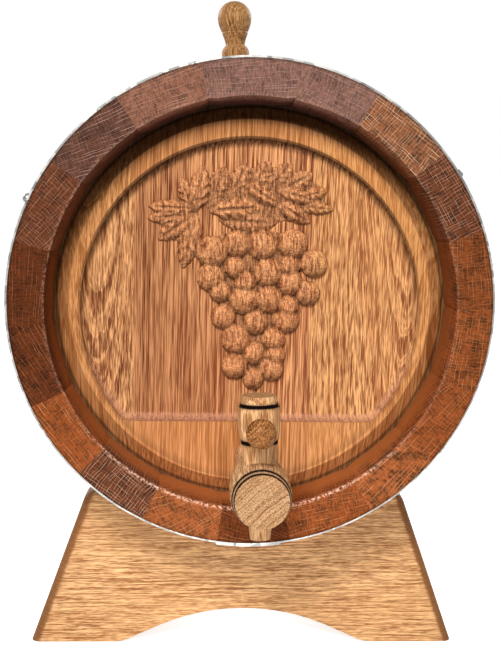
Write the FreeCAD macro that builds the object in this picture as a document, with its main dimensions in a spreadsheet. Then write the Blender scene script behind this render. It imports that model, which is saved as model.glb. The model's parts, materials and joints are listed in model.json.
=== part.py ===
import FreeCAD, Part
import math
import operator
import os

import Sketcher
from FreeCAD import Placement, Rotation, Vector

# A coopered oak cask that lies on a cradle stand, with a bung above and a wooden tap in its front head.
# Frame: +Z up, the front faces -Y, and the origin is on the floor, under the middle of the whole object.
# Cask pieces are drawn with the cask's axis along +Y and its front chime at zero; a clock angle runs
# clockwise from the top, as seen from the front.

PARTS_FOLDER = "parts"
SHEET_NAME = "Sizes"
FULL_TURN = 360
HALF_TURN = 180
QUARTER_TURN = 90

# Driving dimensions in millimetres and degrees: alias, value, meaning
SIZES = (
    ("cask_length", 330, "length of the cask over both chimes"),
    ("chime_radius", 125, "outer radius of the staves at their ends"),
    ("bilge_radius", 136.5, "outer radius of the staves at the belly"),
    ("bilge_wall", 21, "thickness of a stave at the belly"),
    ("chime_bore", 104.9, "axis to a stave's inner face at the very end"),
    ("head_bore", 104, "axis to a stave's inner face at the head"),
    ("howel_radius", 106.3, "radius of the round cut inside a chime, at the very end"),
    ("howel_fall", 1.7, "loss of that radius at the croze"),
    ("chime_depth", 22, "from the end of the staves to the face of the head"),
    ("first_joint", 11, "clock angle of the joint after the bung stave"),
    ("blank_spare", 5, "wood inside a stave's blank before it is hollowed"),
    ("croze_depth", 5, "depth of the groove that holds the head"),
    ("croze_lip", 5, "stave left level behind the croze"),
    ("croze_gap", 0.15, "clearance of the head in its groove"),
    ("head_thickness", 18, "thickness of a head"),
    ("head_bevel", 7.4, "visible width of the bevel round a head"),
    ("head_bevel_drop", 5, "depth of that bevel at the rim"),
    ("head_rim", 8, "thickness of a head at its rim"),
    ("head_back_bevel", 9, "width of the bevel on the inner side"),
    ("front_joint_left", 62.2, "middle of the front head to its left joint"),
    ("front_joint_right", 33.2, "middle of the front head to its right joint"),
    ("back_joint_left", 36, "middle of the back head to its left joint"),
    ("back_joint_right", 31, "middle of the back head to its right joint"),
    ("panel_radius", 90.4, "radius of the sunk panel of the front head"),
    ("panel_drop", 4, "centre of the panel's circle below the cask's axis"),
    ("panel_sill", 64.6, "level lower edge of the panel below the cask's axis"),
    ("panel_depth", 5.5, "depth of the sunk panel"),
    ("panel_corner", 7, "corner radius of the panel"),
    ("panel_cove", 4.8, "radius of the cove round the panel"),
    ("head_dowel_radius", 3, "radius of a dowel between head boards"),
    ("head_dowel_length", 30, "length of a dowel between head boards"),
    ("head_dowel_height", 46, "dowel above or below the middle of the head"),
    ("dowel_gap", 0.05, "radial clearance of a dowel in its hole"),
    ("hoop_width", 25, "width of a hoop"),
    ("hoop_thickness", 1, "thickness of a hoop"),
    ("hoop_gap", 0.15, "clearance under a hoop's edges on the bellied staves"),
    ("chime_hoop_inset", 2, "end of the staves to the chime hoop"),
    ("bilge_hoop_inset", 92, "end of the staves to the bilge hoop"),
    ("hoop_lap", 34, "length of a hoop's lap"),
    ("lap_clock", 180, "clock angle of the laps"),
    ("rivet_pitch", 17.4, "distance between the two rivets of a lap"),
    ("rivet_head_radius", 2.6, "radius of a rivet's head"),
    ("rivet_head_height", 1.8, "height of a rivet's head"),
    ("rivet_shank_radius", 1.5, "radius of a rivet's shank"),
    ("nail_head_radius", 2.6, "radius of a hoop nail's domed head"),
    ("nail_head_height", 2.4, "height of a hoop nail's domed head"),
    ("nail_shank_radius", 1.1, "radius of a hoop nail's shank"),
    ("nail_length", 9, "hoop nail below its head"),
    ("nail_shift_right", -3.9, "right nail past the middle of its stave, degrees"),
    ("nail_shift_left", -0.1, "left nail past the middle of its stave, degrees"),
    ("bung_shift", -1.35, "bung past the middle of its stave, degrees"),
    ("bung_hole_radius", 7.6, "bung hole at the outside of the stave"),
    ("bung_taper", 1.2, "bung hole's loss of radius through the stave"),
    ("bung_gap", 0.08, "radial clearance of the bung in its hole"),
    ("bung_seat_gap", 5, "bung's foot above the stave"),
    ("bung_tip", 3, "bung past the inside of the stave"),
    ("bung_foot_radius", 8.85, "radius of the bung's foot"),
    ("bung_shoulder_radius", 7.5, "radius at the top of the foot's rounded shoulder"),
    ("bung_neck_radius", 6.1, "radius of the bung's neck"),
    ("bung_bead_radius", 8.3, "radius of the bead under the knob"),
    ("bung_step", 0.15, "knob's foot inside the bead"),
    ("bung_step_height", 0.7, "height of that step"),
    ("bung_knob_radius", 10.85, "radius of the bung's egg-shaped knob"),
    ("bung_foot_height", 17.7, "top of the foot's shoulder above the stave"),
    ("bung_shoulder_height", 3.5, "height of that shoulder"),
    ("bung_neck_rise", 1.7, "top of the foot to the narrowest place"),
    ("bung_bead_rise", 7.2, "narrowest place to the bead"),
    ("bung_knob_rise", 9.4, "bead to the widest place of the knob"),
    ("bung_crown_rise", 11.1, "widest place of the knob to its top"),
    ("bung_shoulder_bend", 5.2, "radius of the foot's shoulder"),
    ("bung_hollow_bend", 6, "radius of the hollow over the foot"),
    ("bung_neck_bend", 30, "radius of the hollow under the bead"),
    ("bung_knob_bend", 19, "radius of the knob's side"),
    ("tap_drop", 84.8, "tap's axis below the cask's axis"),
    ("tap_side", 3.1, "tap's axis right of the cask's axis"),
    ("tap_turn", -1.4, "tap about its own axis, clockwise from the front, degrees"),
    ("tap_reach", 70, "front end of the tap ahead of the chime"),
    ("tap_end_radius", 12.7, "radius of the tap's front end"),
    ("tap_nose_length", 5, "front end to the tap's second burnt ring"),
    ("tap_nose_radius", 13.9, "radius at the second burnt ring"),
    ("tap_body_radius", 14.6, "radius of the tap's body"),
    ("tap_body_start", 12, "front end to where the body is full"),
    ("tap_body_length", 24, "front end to where the body begins to taper"),
    ("tap_waist_start", 46, "front end to where the tap's taper turns hollow"),
    ("tap_waist_radius", 12.9, "radius of the tap there"),
    ("tap_seat_radius", 10.4, "radius of the tap at the face of the head"),
    ("tap_waist_bend", 360, "radius of the hollow part of the taper, along its length"),
    ("tap_tail_radius", 9.6, "radius of the tap's inner end"),
    ("tap_tail_reach", 12, "tap past the inner face of the head"),
    ("tap_bore_radius", 4, "radius of the bore through the tap"),
    ("tap_gap", 0.05, "clearance of the tap in the head"),
    ("ring_width", 1.2, "width of a burnt ring"),
    ("ring_depth", 0.4, "depth of a burnt ring"),
    ("ring_setback", 1.2, "front end to the tap's first burnt ring"),
    ("key_setback", 25, "front end of the tap to the key's axis"),
    ("key_rise", 45.8, "top of the key above the tap's axis"),
    ("key_drop", 24, "foot of the key below the tap's axis"),
    ("key_foot_radius", 5, "radius of the key's foot"),
    ("key_seat_radius", 8.3, "radius of the key where it leaves the tap"),
    ("key_neck_radius", 8.5, "radius of the key's neck, under its head"),
    ("key_collar_radius", 8.8, "radius of the key's head at its underside"),
    ("key_head_radius", 9.3, "radius of the key's head under its top bevel"),
    ("key_head_bend", 45, "radius of the bulge along the key's head"),
    ("key_head_start", 22.5, "underside of the key's head above the tap's axis"),
    ("key_head_bevel", 0.8, "height of the bevel under the key's head"),
    ("key_top_radius", 8.1, "radius of the key's flat top"),
    ("key_top_bevel", 3.6, "height of the bevel round the key's top"),
    ("key_low_ring", 1.1, "lower burnt ring above the underside of the key's head"),
    ("key_high_ring", 4.5, "upper burnt ring below the key's top"),
    ("key_gap", 0.08, "radial clearance of the key in the tap"),
    ("key_port_radius", 3.2, "radius of the key's port and outlet"),
    ("peg_height", 31.1, "handle peg's axis above the tap's axis"),
    ("peg_reach", 28, "tip of the handle peg ahead of the key's axis"),
    ("peg_knob_radius", 7.1, "radius of the handle peg's knob"),
    ("peg_knob_length", 12, "length of the handle peg's knob"),
    ("peg_knob_widest", 6.6, "tip of the handle peg to the widest place of its knob"),
    ("peg_shoulder_radius", 5.4, "radius of the knob where it meets the stem"),
    ("peg_stem_radius", 4.8, "radius of the handle peg in the key"),
    ("peg_gap", 0.05, "clearance of the peg in the key"),
    ("board_setback", 55, "end of the staves to a cradle board's face"),
    ("board_thickness", 24, "thickness of a cradle board"),
    ("board_waist", 48.4, "height of a board over its arch"),
    ("board_horn_rise", 21.1, "top of a board above the lowest place of its cradle"),
    ("board_horn_width", 18.4, "width of a horn at its top"),
    ("board_splay", 32, "foot of a board beyond its top, each side"),
    ("board_corner", 10, "radius of a board's top corners"),
    ("board_round", 5, "rounding along a board's outer edges"),
    ("arch_height", 19.9, "height of the arch under a board"),
    ("arch_half_width", 74, "middle of the arch to its foot"),
    ("arch_slope", 24, "slope of the arch's sides, degrees"),
    ("arch_foot_radius", 18, "radius where the arch meets the foot"),
    ("cradle_gap", 0.3, "clearance between the cask and its cradle"),
    ("rail_thickness", 20, "thickness of a rail of the stand"),
    ("rail_height", 36, "height of a rail of the stand"),
    ("rail_clearance", 14, "rail above the floor"),
    ("rail_inset", 4, "rail outside the edge of the arch"),
    ("stand_dowel_radius", 4, "radius of a dowel of the stand"),
    ("stand_dowel_length", 30, "length of a dowel of the stand"),
    ("stand_dowel_edge", 9, "dowel from a rail's lower or upper face"),
)

# Widths of the staves in clock order, as shares of the ring; the first is the bung stave
STAVE_WIDTHS = (
    (23.9, 19, 21, 20.4, 18.9, 20.4, 19.2, 19.2, 20.9)
    + (17.5, 18.9, 18.7, 19.4, 19.8, 20, 20.7, 21.1, 21)
)
BUNG_STAVE = 1
RIGHT_NAIL_STAVE = 4
LEFT_NAIL_STAVE = 16

# How far a cut runs past the wood, the largest fillet as a share of what it has to fit in, and how near
# counts as equal
CUT_MARGIN = 1
FILLET_SHARE = 0.9
NEAR = 1e-4

ANTICLOCKWISE = 1
CLOCKWISE = -1
ALONG_X = Vector(1, 0, 0)
ALONG_Y = Vector(0, 1, 0)
ALONG_Z = Vector(0, 0, 1)
OPERATIONS = {"+": operator.add, "-": operator.sub, "*": operator.mul, "/": operator.truediv}


class Size:
    """A number together with the sheet formula that gives it."""

    def __init__(self, value, formula):
        self.value = value
        self.formula = formula

    def __add__(self, other):
        return combined(self, "+", other)

    def __radd__(self, other):
        return combined(other, "+", self)

    def __sub__(self, other):
        return combined(self, "-", other)

    def __rsub__(self, other):
        return combined(other, "-", self)

    def __mul__(self, other):
        return combined(self, "*", other)

    def __rmul__(self, other):
        return combined(other, "*", self)

    def __truediv__(self, other):
        return combined(self, "/", other)

    def __neg__(self):
        return combined(0, "-", self)


def sized(number):
    """Wrap a plain number as a Size."""
    return number if isinstance(number, Size) else Size(number, str(number))


def combined(left, sign, right):
    """Join two sizes by one of the four operations."""
    left, right = sized(left), sized(right)
    value = OPERATIONS[sign](left.value, right.value)
    return Size(value, f"({left.formula} {sign} {right.formula})")


def root(size):
    """Square root of a size."""
    return Size(math.sqrt(size.value), f"sqrt({size.formula})")


def sine(angle):
    """Sine of an angle in degrees."""
    return Size(math.sin(math.radians(angle.value)), f"sin({angle.formula})")


def cosine(angle):
    """Cosine of an angle in degrees."""
    return Size(math.cos(math.radians(angle.value)), f"cos({angle.formula})")


def arc_sine(ratio):
    """Angle in degrees whose sine is given."""
    return Size(math.degrees(math.asin(ratio.value)), f"(asin({ratio.formula}) / 1deg)")


def smaller(one, other):
    """The smaller of two sizes."""
    return Size(min(one.value, other.value), f"min({one.formula}; {other.formula})")


def larger(one, other):
    """The larger of two sizes."""
    return Size(max(one.value, other.value), f"max({one.formula}; {other.formula})")


def make_sheet(doc):
    """Write the driving dimensions to a spreadsheet and return them by alias as sizes."""
    sheet = doc.addObject("Spreadsheet::Sheet", SHEET_NAME)
    stave_rows = tuple(
        (f"stave_width_{number:02d}", width, f"share of the ring of stave {number}")
        for number, width in enumerate(STAVE_WIDTHS, 1)
    )
    for row, (alias, value, meaning) in enumerate(SIZES + stave_rows, 1):
        sheet.set(f"A{row}", alias)
        sheet.set(f"B{row}", str(value))
        sheet.set(f"C{row}", meaning)
        sheet.setAlias(f"B{row}", alias)
    doc.recompute()
    return {alias: Size(sheet.get(alias), f"{SHEET_NAME}.{alias}") for alias, _, _ in SIZES + stave_rows}


def bind(target, path, size):
    """Tie a property to the sheet."""
    target.setExpression(path, sized(size).formula)


def place(piece, x, y, z, axis=ALONG_Z, angle=0):
    """Put a piece at a place and turn that follow the sheet."""
    base = Vector(sized(x).value, sized(y).value, sized(z).value)
    piece.Placement = Placement(base, Rotation(axis, sized(angle).value))
    bind(piece, "Placement.Base.x", x)
    bind(piece, "Placement.Base.y", y)
    bind(piece, "Placement.Base.z", z)
    bind(piece, "Placement.Rotation.Angle", angle)


def new_body(doc, name):
    """Start a body whose name is also its label."""
    body = doc.addObject("PartDesign::Body", name)
    body.Label = name
    return body


def new_sketch(body, name, plane_role, shift=(0, 0, 0), tilt_axis=ALONG_X, tilt=0):
    """Attach a sketch to one of the body's origin planes, moved and turned in that plane's own axes."""
    sketch = body.newObject("Sketcher::SketchObject", f"{body.Name}_{name}_sketch")
    plane = next(feature for feature in body.Origin.OriginFeatures if feature.Role == plane_role)
    sketch.AttachmentSupport = [(plane, "")]
    sketch.MapMode = "FlatFace"
    moved = Vector(*(sized(part).value for part in shift))
    sketch.AttachmentOffset = Placement(moved, Rotation(tilt_axis, sized(tilt).value))
    for path, size in zip(("Base.x", "Base.y", "Base.z", "Rotation.Angle"), (*shift, tilt)):
        if isinstance(size, Size):
            bind(sketch, f"AttachmentOffset.{path}", size)
    sketch.Visibility = False
    return sketch


def pin(sketch, vertex, x, y):
    """Hold a vertex of a sketch at a place that follows the sheet."""
    for kind, axis, size in (("DistanceX", -2, sized(x)), ("DistanceY", -1, sized(y))):
        if size.value == 0:
            sketch.addConstraint(Sketcher.Constraint("PointOnObject", *vertex, axis))
        else:
            number = sketch.addConstraint(Sketcher.Constraint(kind, -1, 1, *vertex, size.value))
            bind(sketch, f"Constraints[{number}]", size)


def arc_between(start, finish, radius, turn):
    """The arc of at most half a circle from start to finish, anticlockwise or clockwise."""
    chord = finish - start
    middle = start + chord * 0.5
    rise = math.sqrt(max(radius**2 - (chord.Length / 2) ** 2, 0))
    centre = middle + Vector(-chord.y, chord.x, 0).normalize() * rise * turn
    first, last = (start, finish) if turn == ANTICLOCKWISE else (finish, start)
    angles = [math.atan2(point.y - centre.y, point.x - centre.x) for point in (first, last)]
    return Part.ArcOfCircle(Part.Circle(centre, ALONG_Z, radius), *angles)


def draw_outline(sketch, corners):
    """Close an outline. A corner is (x, y), or (x, y, radius, turn) where an arc leads to the next."""
    points = [Vector(sized(corner[0]).value, sized(corner[1]).value, 0) for corner in corners]
    tails, heads = [], []
    for index, corner in enumerate(corners):
        start, finish = points[index], points[(index + 1) % len(points)]
        turn = ANTICLOCKWISE
        if len(corner) == 2:
            edge = sketch.addGeometry(Part.LineSegment(start, finish), False)
        else:
            radius, turn = sized(corner[2]), corner[3]
            edge = sketch.addGeometry(arc_between(start, finish, radius.value, turn), False)
            number = sketch.addConstraint(Sketcher.Constraint("Radius", edge, radius.value))
            bind(sketch, f"Constraints[{number}]", radius)
        ends = ((edge, 1), (edge, 2))
        tails.append(ends[0] if turn == ANTICLOCKWISE else ends[1])
        heads.append(ends[1] if turn == ANTICLOCKWISE else ends[0])
    for index, corner in enumerate(corners):
        sketch.addConstraint(Sketcher.Constraint("Coincident", *heads[index - 1], *tails[index]))
        pin(sketch, tails[index], corner[0], corner[1])


def draw_circle(sketch, x, y, radius):
    """Add a circle whose centre and radius follow the sheet."""
    centre = Vector(sized(x).value, sized(y).value, 0)
    circle = sketch.addGeometry(Part.Circle(centre, ALONG_Z, sized(radius).value), False)
    number = sketch.addConstraint(Sketcher.Constraint("Radius", circle, sized(radius).value))
    bind(sketch, f"Constraints[{number}]", radius)
    pin(sketch, (circle, 3), x, y)


def rectangle(left, low, right, high):
    """Corners of a rectangle."""
    return [(left, low), (right, low), (right, high), (left, high)]


def turned(body, kind, name, sketch, axis="H_Axis", angle=FULL_TURN):
    """Revolve a sketch about one of its axes, half the angle to each side."""
    feature = body.newObject(f"PartDesign::{kind}", f"{body.Name}_{name}")
    feature.Profile = sketch
    feature.ReferenceAxis = (sketch, [axis])
    feature.Midplane = True
    bind(feature, "Angle", angle)
    body.Tip = feature
    return feature


def extruded(body, kind, name, sketch, length=None, both_ways=False, backward=False):
    """Pad or pocket a sketch: with no length a pocket goes through everything."""
    feature = body.newObject(f"PartDesign::{kind}", f"{body.Name}_{name}")
    feature.Profile = sketch
    feature.SideType = "Symmetric" if both_ways else "One side"
    feature.Reversed = backward
    if length is None:
        feature.Type = "ThroughAll"
    else:
        bind(feature, "Length", length)
    body.Tip = feature
    return feature


def rounded(body, name, edges, radius):
    """Fillet the edges of the body's last feature that pass a test."""
    body.Document.recompute()
    base = body.Tip
    chosen = [f"Edge{number}" for number, edge in enumerate(base.Shape.Edges, 1) if edges(edge)]
    feature = body.newObject("PartDesign::Fillet", f"{body.Name}_{name}")
    feature.Base = (base, chosen)
    bind(feature, "Radius", radius)
    body.Tip = feature
    return feature


def lies_at(edge, **places):
    """Whether every vertex and the middle of an edge have the given x, y or z."""
    middle = edge.valueAt((edge.FirstParameter + edge.LastParameter) / 2)
    points = [vertex.Point for vertex in edge.Vertexes] + [middle]
    return all(abs(getattr(point, axis) - place) < NEAR for point in points for axis, place in places.items())


def runs_through(edge):
    """Whether an edge runs straight along Y."""
    return edge.Curve.TypeId == "Part::GeomLine" and abs(abs(edge.Curve.Direction.y) - 1) < NEAR


class Cask:
    """Sizes and places that several pieces of the cask share."""

    def __init__(self, sizes):
        self.sizes = sizes
        half = sizes["cask_length"] / 2
        rise = sizes["bilge_radius"] - sizes["chime_radius"]
        self.middle = half
        self.bend = (half * half + rise * rise) / (2 * rise)
        self.widths = [sizes[f"stave_width_{number:02d}"] for number in range(1, len(STAVE_WIDTHS) + 1)]
        self.width_total = self.sum_of(self.widths)
        self.foremost = larger(
            sizes["tap_reach"], sizes["tap_reach"] - sizes["key_setback"] + sizes["peg_reach"]
        )
        self.front = (self.foremost - sizes["cask_length"]) / 2
        self.cradle_radius = self.outside(sizes["board_setback"]) + sizes["cradle_gap"]
        self.axis_height = sizes["arch_height"] + sizes["board_waist"] + self.cradle_radius
        self.croze_radius = sizes["head_bore"] + sizes["croze_depth"]
        self.croze_start = sizes["chime_depth"] + sizes["head_bevel_drop"]
        self.croze_end = self.croze_start + sizes["head_rim"]
        self.tap_height = self.axis_height - sizes["tap_drop"]
        self.key_y = self.front - sizes["tap_reach"] + sizes["key_setback"]

    @staticmethod
    def sum_of(sizes):
        """Add several sizes."""
        total = sizes[0]
        for size in sizes[1:]:
            total = total + size
        return total

    def outside(self, along):
        """Outer radius of the staves at a distance from the front chime."""
        offset = self.middle - along
        return self.sizes["bilge_radius"] - self.bend + root(self.bend * self.bend - offset * offset)

    def slope(self, along):
        """Angle between the staves' outside and the cask's axis, positive where the cask widens."""
        return arc_sine((self.middle - along) / self.bend)

    def stave_angle(self, number):
        """Angle that a stave takes of the ring."""
        return FULL_TURN * self.widths[number - 1] / self.width_total

    def stave_clock(self, number):
        """Clock angle of the middle of a stave."""
        if number == BUNG_STAVE:
            return self.sizes["first_joint"] - self.stave_angle(number) / 2
        before = self.widths[number - 1] / 2
        if number > 2:
            before = before + self.sum_of(self.widths[1 : number - 1])
        return self.sizes["first_joint"] + FULL_TURN * before / self.width_total

    def bung_clock(self):
        """Clock angle of the bung."""
        return self.stave_clock(BUNG_STAVE) + self.sizes["bung_shift"]


def drill(body, name, cask, clock, along, low, high, low_radius, high_radius):
    """Turn a straight or tapered hole, square to the staves' outside at clock and along.

    low and high are measured outwards from that surface."""
    sketch = new_sketch(body, name, "YZ_Plane", tilt_axis=ALONG_X, tilt=clock)
    height, slope = cask.outside(along), cask.slope(along)

    def point(out, aside):
        """A point of the hole's half section."""
        return (
            along - sine(slope) * out + cosine(slope) * aside,
            height + cosine(slope) * out + sine(slope) * aside,
        )

    draw_outline(sketch, [point(low, 0), point(low, low_radius), point(high, high_radius), point(high, 0)])
    ends = [Vector(x.value, y.value, 0) for x, y in (point(low, 0), point(high, 0))]
    centre_line = sketch.addGeometry(Part.LineSegment(*ends), True)
    for vertex, out in ((1, low), (2, high)):
        pin(sketch, (centre_line, vertex), *point(out, 0))
    return turned(body, "Groove", name, sketch, axis="Axis0")


def make_stave(doc, cask, number):
    """A stave: a bellied wedge, hollowed flat inside, with a round howel and a croze near each end."""
    sizes = cask.sizes
    length = sizes["cask_length"]
    lip_end = cask.croze_end + sizes["croze_lip"]
    inner_rise = sizes["bilge_radius"] - sizes["bilge_wall"] - sizes["head_bore"]
    inner_half = cask.middle - lip_end
    inner_bend = (inner_half * inner_half + inner_rise * inner_rise) / (2 * inner_rise)
    blank_bore = sizes["head_bore"] - sizes["blank_spare"]

    body = new_body(doc, f"stave_{number:02d}")
    blank = new_sketch(body, "blank", "YZ_Plane")
    draw_outline(
        blank,
        [
            (0, blank_bore),
            (length, blank_bore),
            (length, sizes["chime_radius"], cask.bend, ANTICLOCKWISE),
            (0, sizes["chime_radius"]),
        ],
    )
    turned(body, "Revolution", "wedge", blank, angle=cask.stave_angle(number))

    hollow = new_sketch(body, "hollow", "YZ_Plane")
    draw_outline(
        hollow,
        [
            (0, 0),
            (length, 0),
            (length, sizes["chime_bore"]),
            (length - sizes["chime_depth"], sizes["head_bore"]),
            (length - lip_end, sizes["head_bore"], inner_bend, ANTICLOCKWISE),
            (lip_end, sizes["head_bore"]),
            (sizes["chime_depth"], sizes["head_bore"]),
            (0, sizes["chime_bore"]),
        ],
    )
    extruded(body, "Pocket", "hollowing", hollow, length=sizes["bilge_radius"], both_ways=True)

    howel = new_sketch(body, "howel", "YZ_Plane")
    brim, rest = sizes["howel_radius"], sizes["howel_radius"] - sizes["howel_fall"]
    reach = cask.croze_start
    draw_outline(howel, [(0, blank_bore), (reach, blank_bore), (reach, rest), (0, brim)])
    far = length - reach
    draw_outline(howel, [(far, blank_bore), (length, blank_bore), (length, brim), (far, rest)])
    turned(body, "Groove", "howel", howel)

    croze = new_sketch(body, "croze", "YZ_Plane")
    start, end = cask.croze_start - sizes["croze_gap"], cask.croze_end + sizes["croze_gap"]
    draw_outline(croze, rectangle(start, blank_bore, end, cask.croze_radius))
    draw_outline(croze, rectangle(length - end, blank_bore, length - start, cask.croze_radius))
    turned(body, "Groove", "crozing", croze)

    if number == BUNG_STAVE:
        wall = sizes["bilge_wall"]
        narrow = sizes["bung_hole_radius"] - sizes["bung_taper"]
        drill(
            body, "bung_hole", cask, sizes["bung_shift"], cask.middle,
            -wall - sizes["bung_taper"], sized(CUT_MARGIN), narrow, sizes["bung_hole_radius"],
        )
    shifts = {RIGHT_NAIL_STAVE: sizes["nail_shift_right"], LEFT_NAIL_STAVE: sizes["nail_shift_left"]}
    if number in shifts:
        radius = sizes["nail_shank_radius"] + sizes["dowel_gap"]
        for side, along in enumerate(chime_hoop_middles(cask), 1):
            drill(
                body, f"nail_hole_{side}", cask, shifts[number], along,
                -sizes["nail_length"], sized(CUT_MARGIN), radius, radius,
            )
    place(body, 0, cask.front, cask.axis_height, ALONG_Y, cask.stave_clock(number))
    return body


def chime_hoop_middles(cask):
    """Distances from the front chime to the middles of the two chime hoops."""
    middle = cask.sizes["chime_hoop_inset"] + cask.sizes["hoop_width"] / 2
    return [middle, cask.sizes["cask_length"] - middle]


def make_hoop(doc, name, cask, start, nailed):
    """A hoop: a band that follows the staves, with its lap at the clock angle of the laps."""
    sizes = cask.sizes
    finish = start + sizes["hoop_width"]
    middle = start + sizes["hoop_width"] / 2
    body = new_body(doc, name)

    def band(floor):
        """Section of the band, floor above the staves."""
        top = floor + sizes["hoop_thickness"]
        return [
            (start, cask.outside(start) + floor),
            (finish, cask.outside(finish) + floor),
            (finish, cask.outside(finish) + top),
            (start, cask.outside(start) + top),
        ]

    ring = new_sketch(body, "ring", "YZ_Plane")
    draw_outline(ring, band(sizes["hoop_gap"]))
    turned(body, "Revolution", "band", ring)
    lap = new_sketch(body, "lap", "YZ_Plane")
    draw_outline(lap, band(sizes["hoop_gap"] + sizes["hoop_thickness"]))
    lap_angle = 2 * arc_sine(sizes["hoop_lap"] / (2 * cask.outside(middle)))
    turned(body, "Revolution", "overlap", lap, angle=lap_angle)

    under = sized(-CUT_MARGIN)
    over = sizes["hoop_gap"] + 2 * sizes["hoop_thickness"] + CUT_MARGIN
    shank = sizes["rivet_shank_radius"] + sizes["dowel_gap"]
    for side, clock in enumerate(rivet_clocks(cask, middle), 1):
        drill(body, f"rivet_hole_{side}", cask, clock, middle, under, over, shank, shank)
    if nailed:
        shank = sizes["nail_shank_radius"] + sizes["dowel_gap"]
        for side, clock in enumerate(nail_clocks(cask), 1):
            turn = clock - sizes["lap_clock"]
            drill(body, f"nail_hole_{side}", cask, turn, middle, under, over, shank, shank)
    place(body, 0, cask.front, cask.axis_height, ALONG_Y, sizes["lap_clock"])
    return body


def rivet_clocks(cask, middle):
    """Clock angles of a lap's rivets, from the middle of the lap."""
    half = arc_sine(cask.sizes["rivet_pitch"] / (2 * cask.outside(middle)))
    return [half, -half]


def nail_clocks(cask):
    """Clock angles of the nails of a chime hoop."""
    sizes = cask.sizes
    return [
        cask.stave_clock(RIGHT_NAIL_STAVE) + sizes["nail_shift_right"],
        cask.stave_clock(LEFT_NAIL_STAVE) + sizes["nail_shift_left"],
    ]


def hoop_starts(cask):
    """Front edges of the hoops by name, as distances from the front chime."""
    sizes = cask.sizes
    far = sizes["cask_length"] - sizes["hoop_width"]
    return {
        "front_chime_hoop": sizes["chime_hoop_inset"],
        "front_bilge_hoop": sizes["bilge_hoop_inset"],
        "back_bilge_hoop": far - sizes["bilge_hoop_inset"],
        "back_chime_hoop": far - sizes["chime_hoop_inset"],
    }


def studs_on_hoops(doc, name, cask, spots, head_radius, head_height, shank_radius, low):
    """One node of identical fasteners: each a domed head on a hoop with a shank down into it.

    A spot is (clock, along, floor), where floor is the head's seat above the staves."""
    dome = (head_radius**2 + head_height**2) / (2 * head_height)
    half_turn = math.asin(head_radius / dome) / 2
    shoulder = Vector(dome * math.sin(half_turn), 0, head_height - dome * (1 - math.cos(half_turn)))
    curve = Part.Arc(Vector(head_radius, 0, 0), shoulder, Vector(0, 0, head_height)).toShape()
    shapes = []
    for clock, along, floor in spots:
        below = low - floor
        corners = [
            Vector(0, 0, head_height),
            Vector(0, 0, below),
            Vector(shank_radius, 0, below),
            Vector(shank_radius, 0, 0),
            Vector(head_radius, 0, 0),
        ]
        section = Part.Face(Part.Wire(Part.makePolygon(corners).Edges + [curve]))
        stud = section.revolve(Vector(), ALONG_Z, FULL_TURN)
        seat = Vector(0, along.value, cask.outside(along).value)
        on_stave = Placement(seat, Rotation(ALONG_X, cask.slope(along).value))
        front = Vector(0, cask.front.value, cask.axis_height.value)
        around = Placement(front, Rotation(ALONG_Y, clock.value))
        raised = Placement(Vector(0, 0, floor), Rotation())
        stud.Placement = around.multiply(on_stave).multiply(raised)
        shapes.append(stud)
    group = doc.addObject("Part::Feature", name)
    group.Label = name
    group.Shape = Part.makeCompound(shapes)
    return group


def make_rivets(doc, cask):
    """The rivets that close the hoops' laps."""
    sizes = cask.sizes
    seat = sizes["hoop_gap"].value + 2 * sizes["hoop_thickness"].value
    spots = []
    for start in hoop_starts(cask).values():
        middle = start + sizes["hoop_width"] / 2
        for clock in rivet_clocks(cask, middle):
            spots.append((sizes["lap_clock"] + clock, middle, seat))
    return studs_on_hoops(
        doc, "hoop_rivets", cask, spots, sizes["rivet_head_radius"].value,
        sizes["rivet_head_height"].value, sizes["rivet_shank_radius"].value, sizes["hoop_gap"].value,
    )


def make_nails(doc, cask):
    """The domed nails that keep the chime hoops in place."""
    sizes = cask.sizes
    seat = sizes["hoop_gap"].value + sizes["hoop_thickness"].value
    spots = [(clock, along, seat) for along in chime_hoop_middles(cask) for clock in nail_clocks(cask)]
    return studs_on_hoops(
        doc, "hoop_nails", cask, spots, sizes["nail_head_radius"].value,
        sizes["nail_head_height"].value, sizes["nail_shank_radius"].value, -sizes["nail_length"].value,
    )


def head_dowel_depth(sizes):
    """Distance from the chime to the dowels, in the middle of the wood behind the panel."""
    return sizes["chime_depth"] + (sizes["panel_depth"] + sizes["head_thickness"]) / 2


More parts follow.
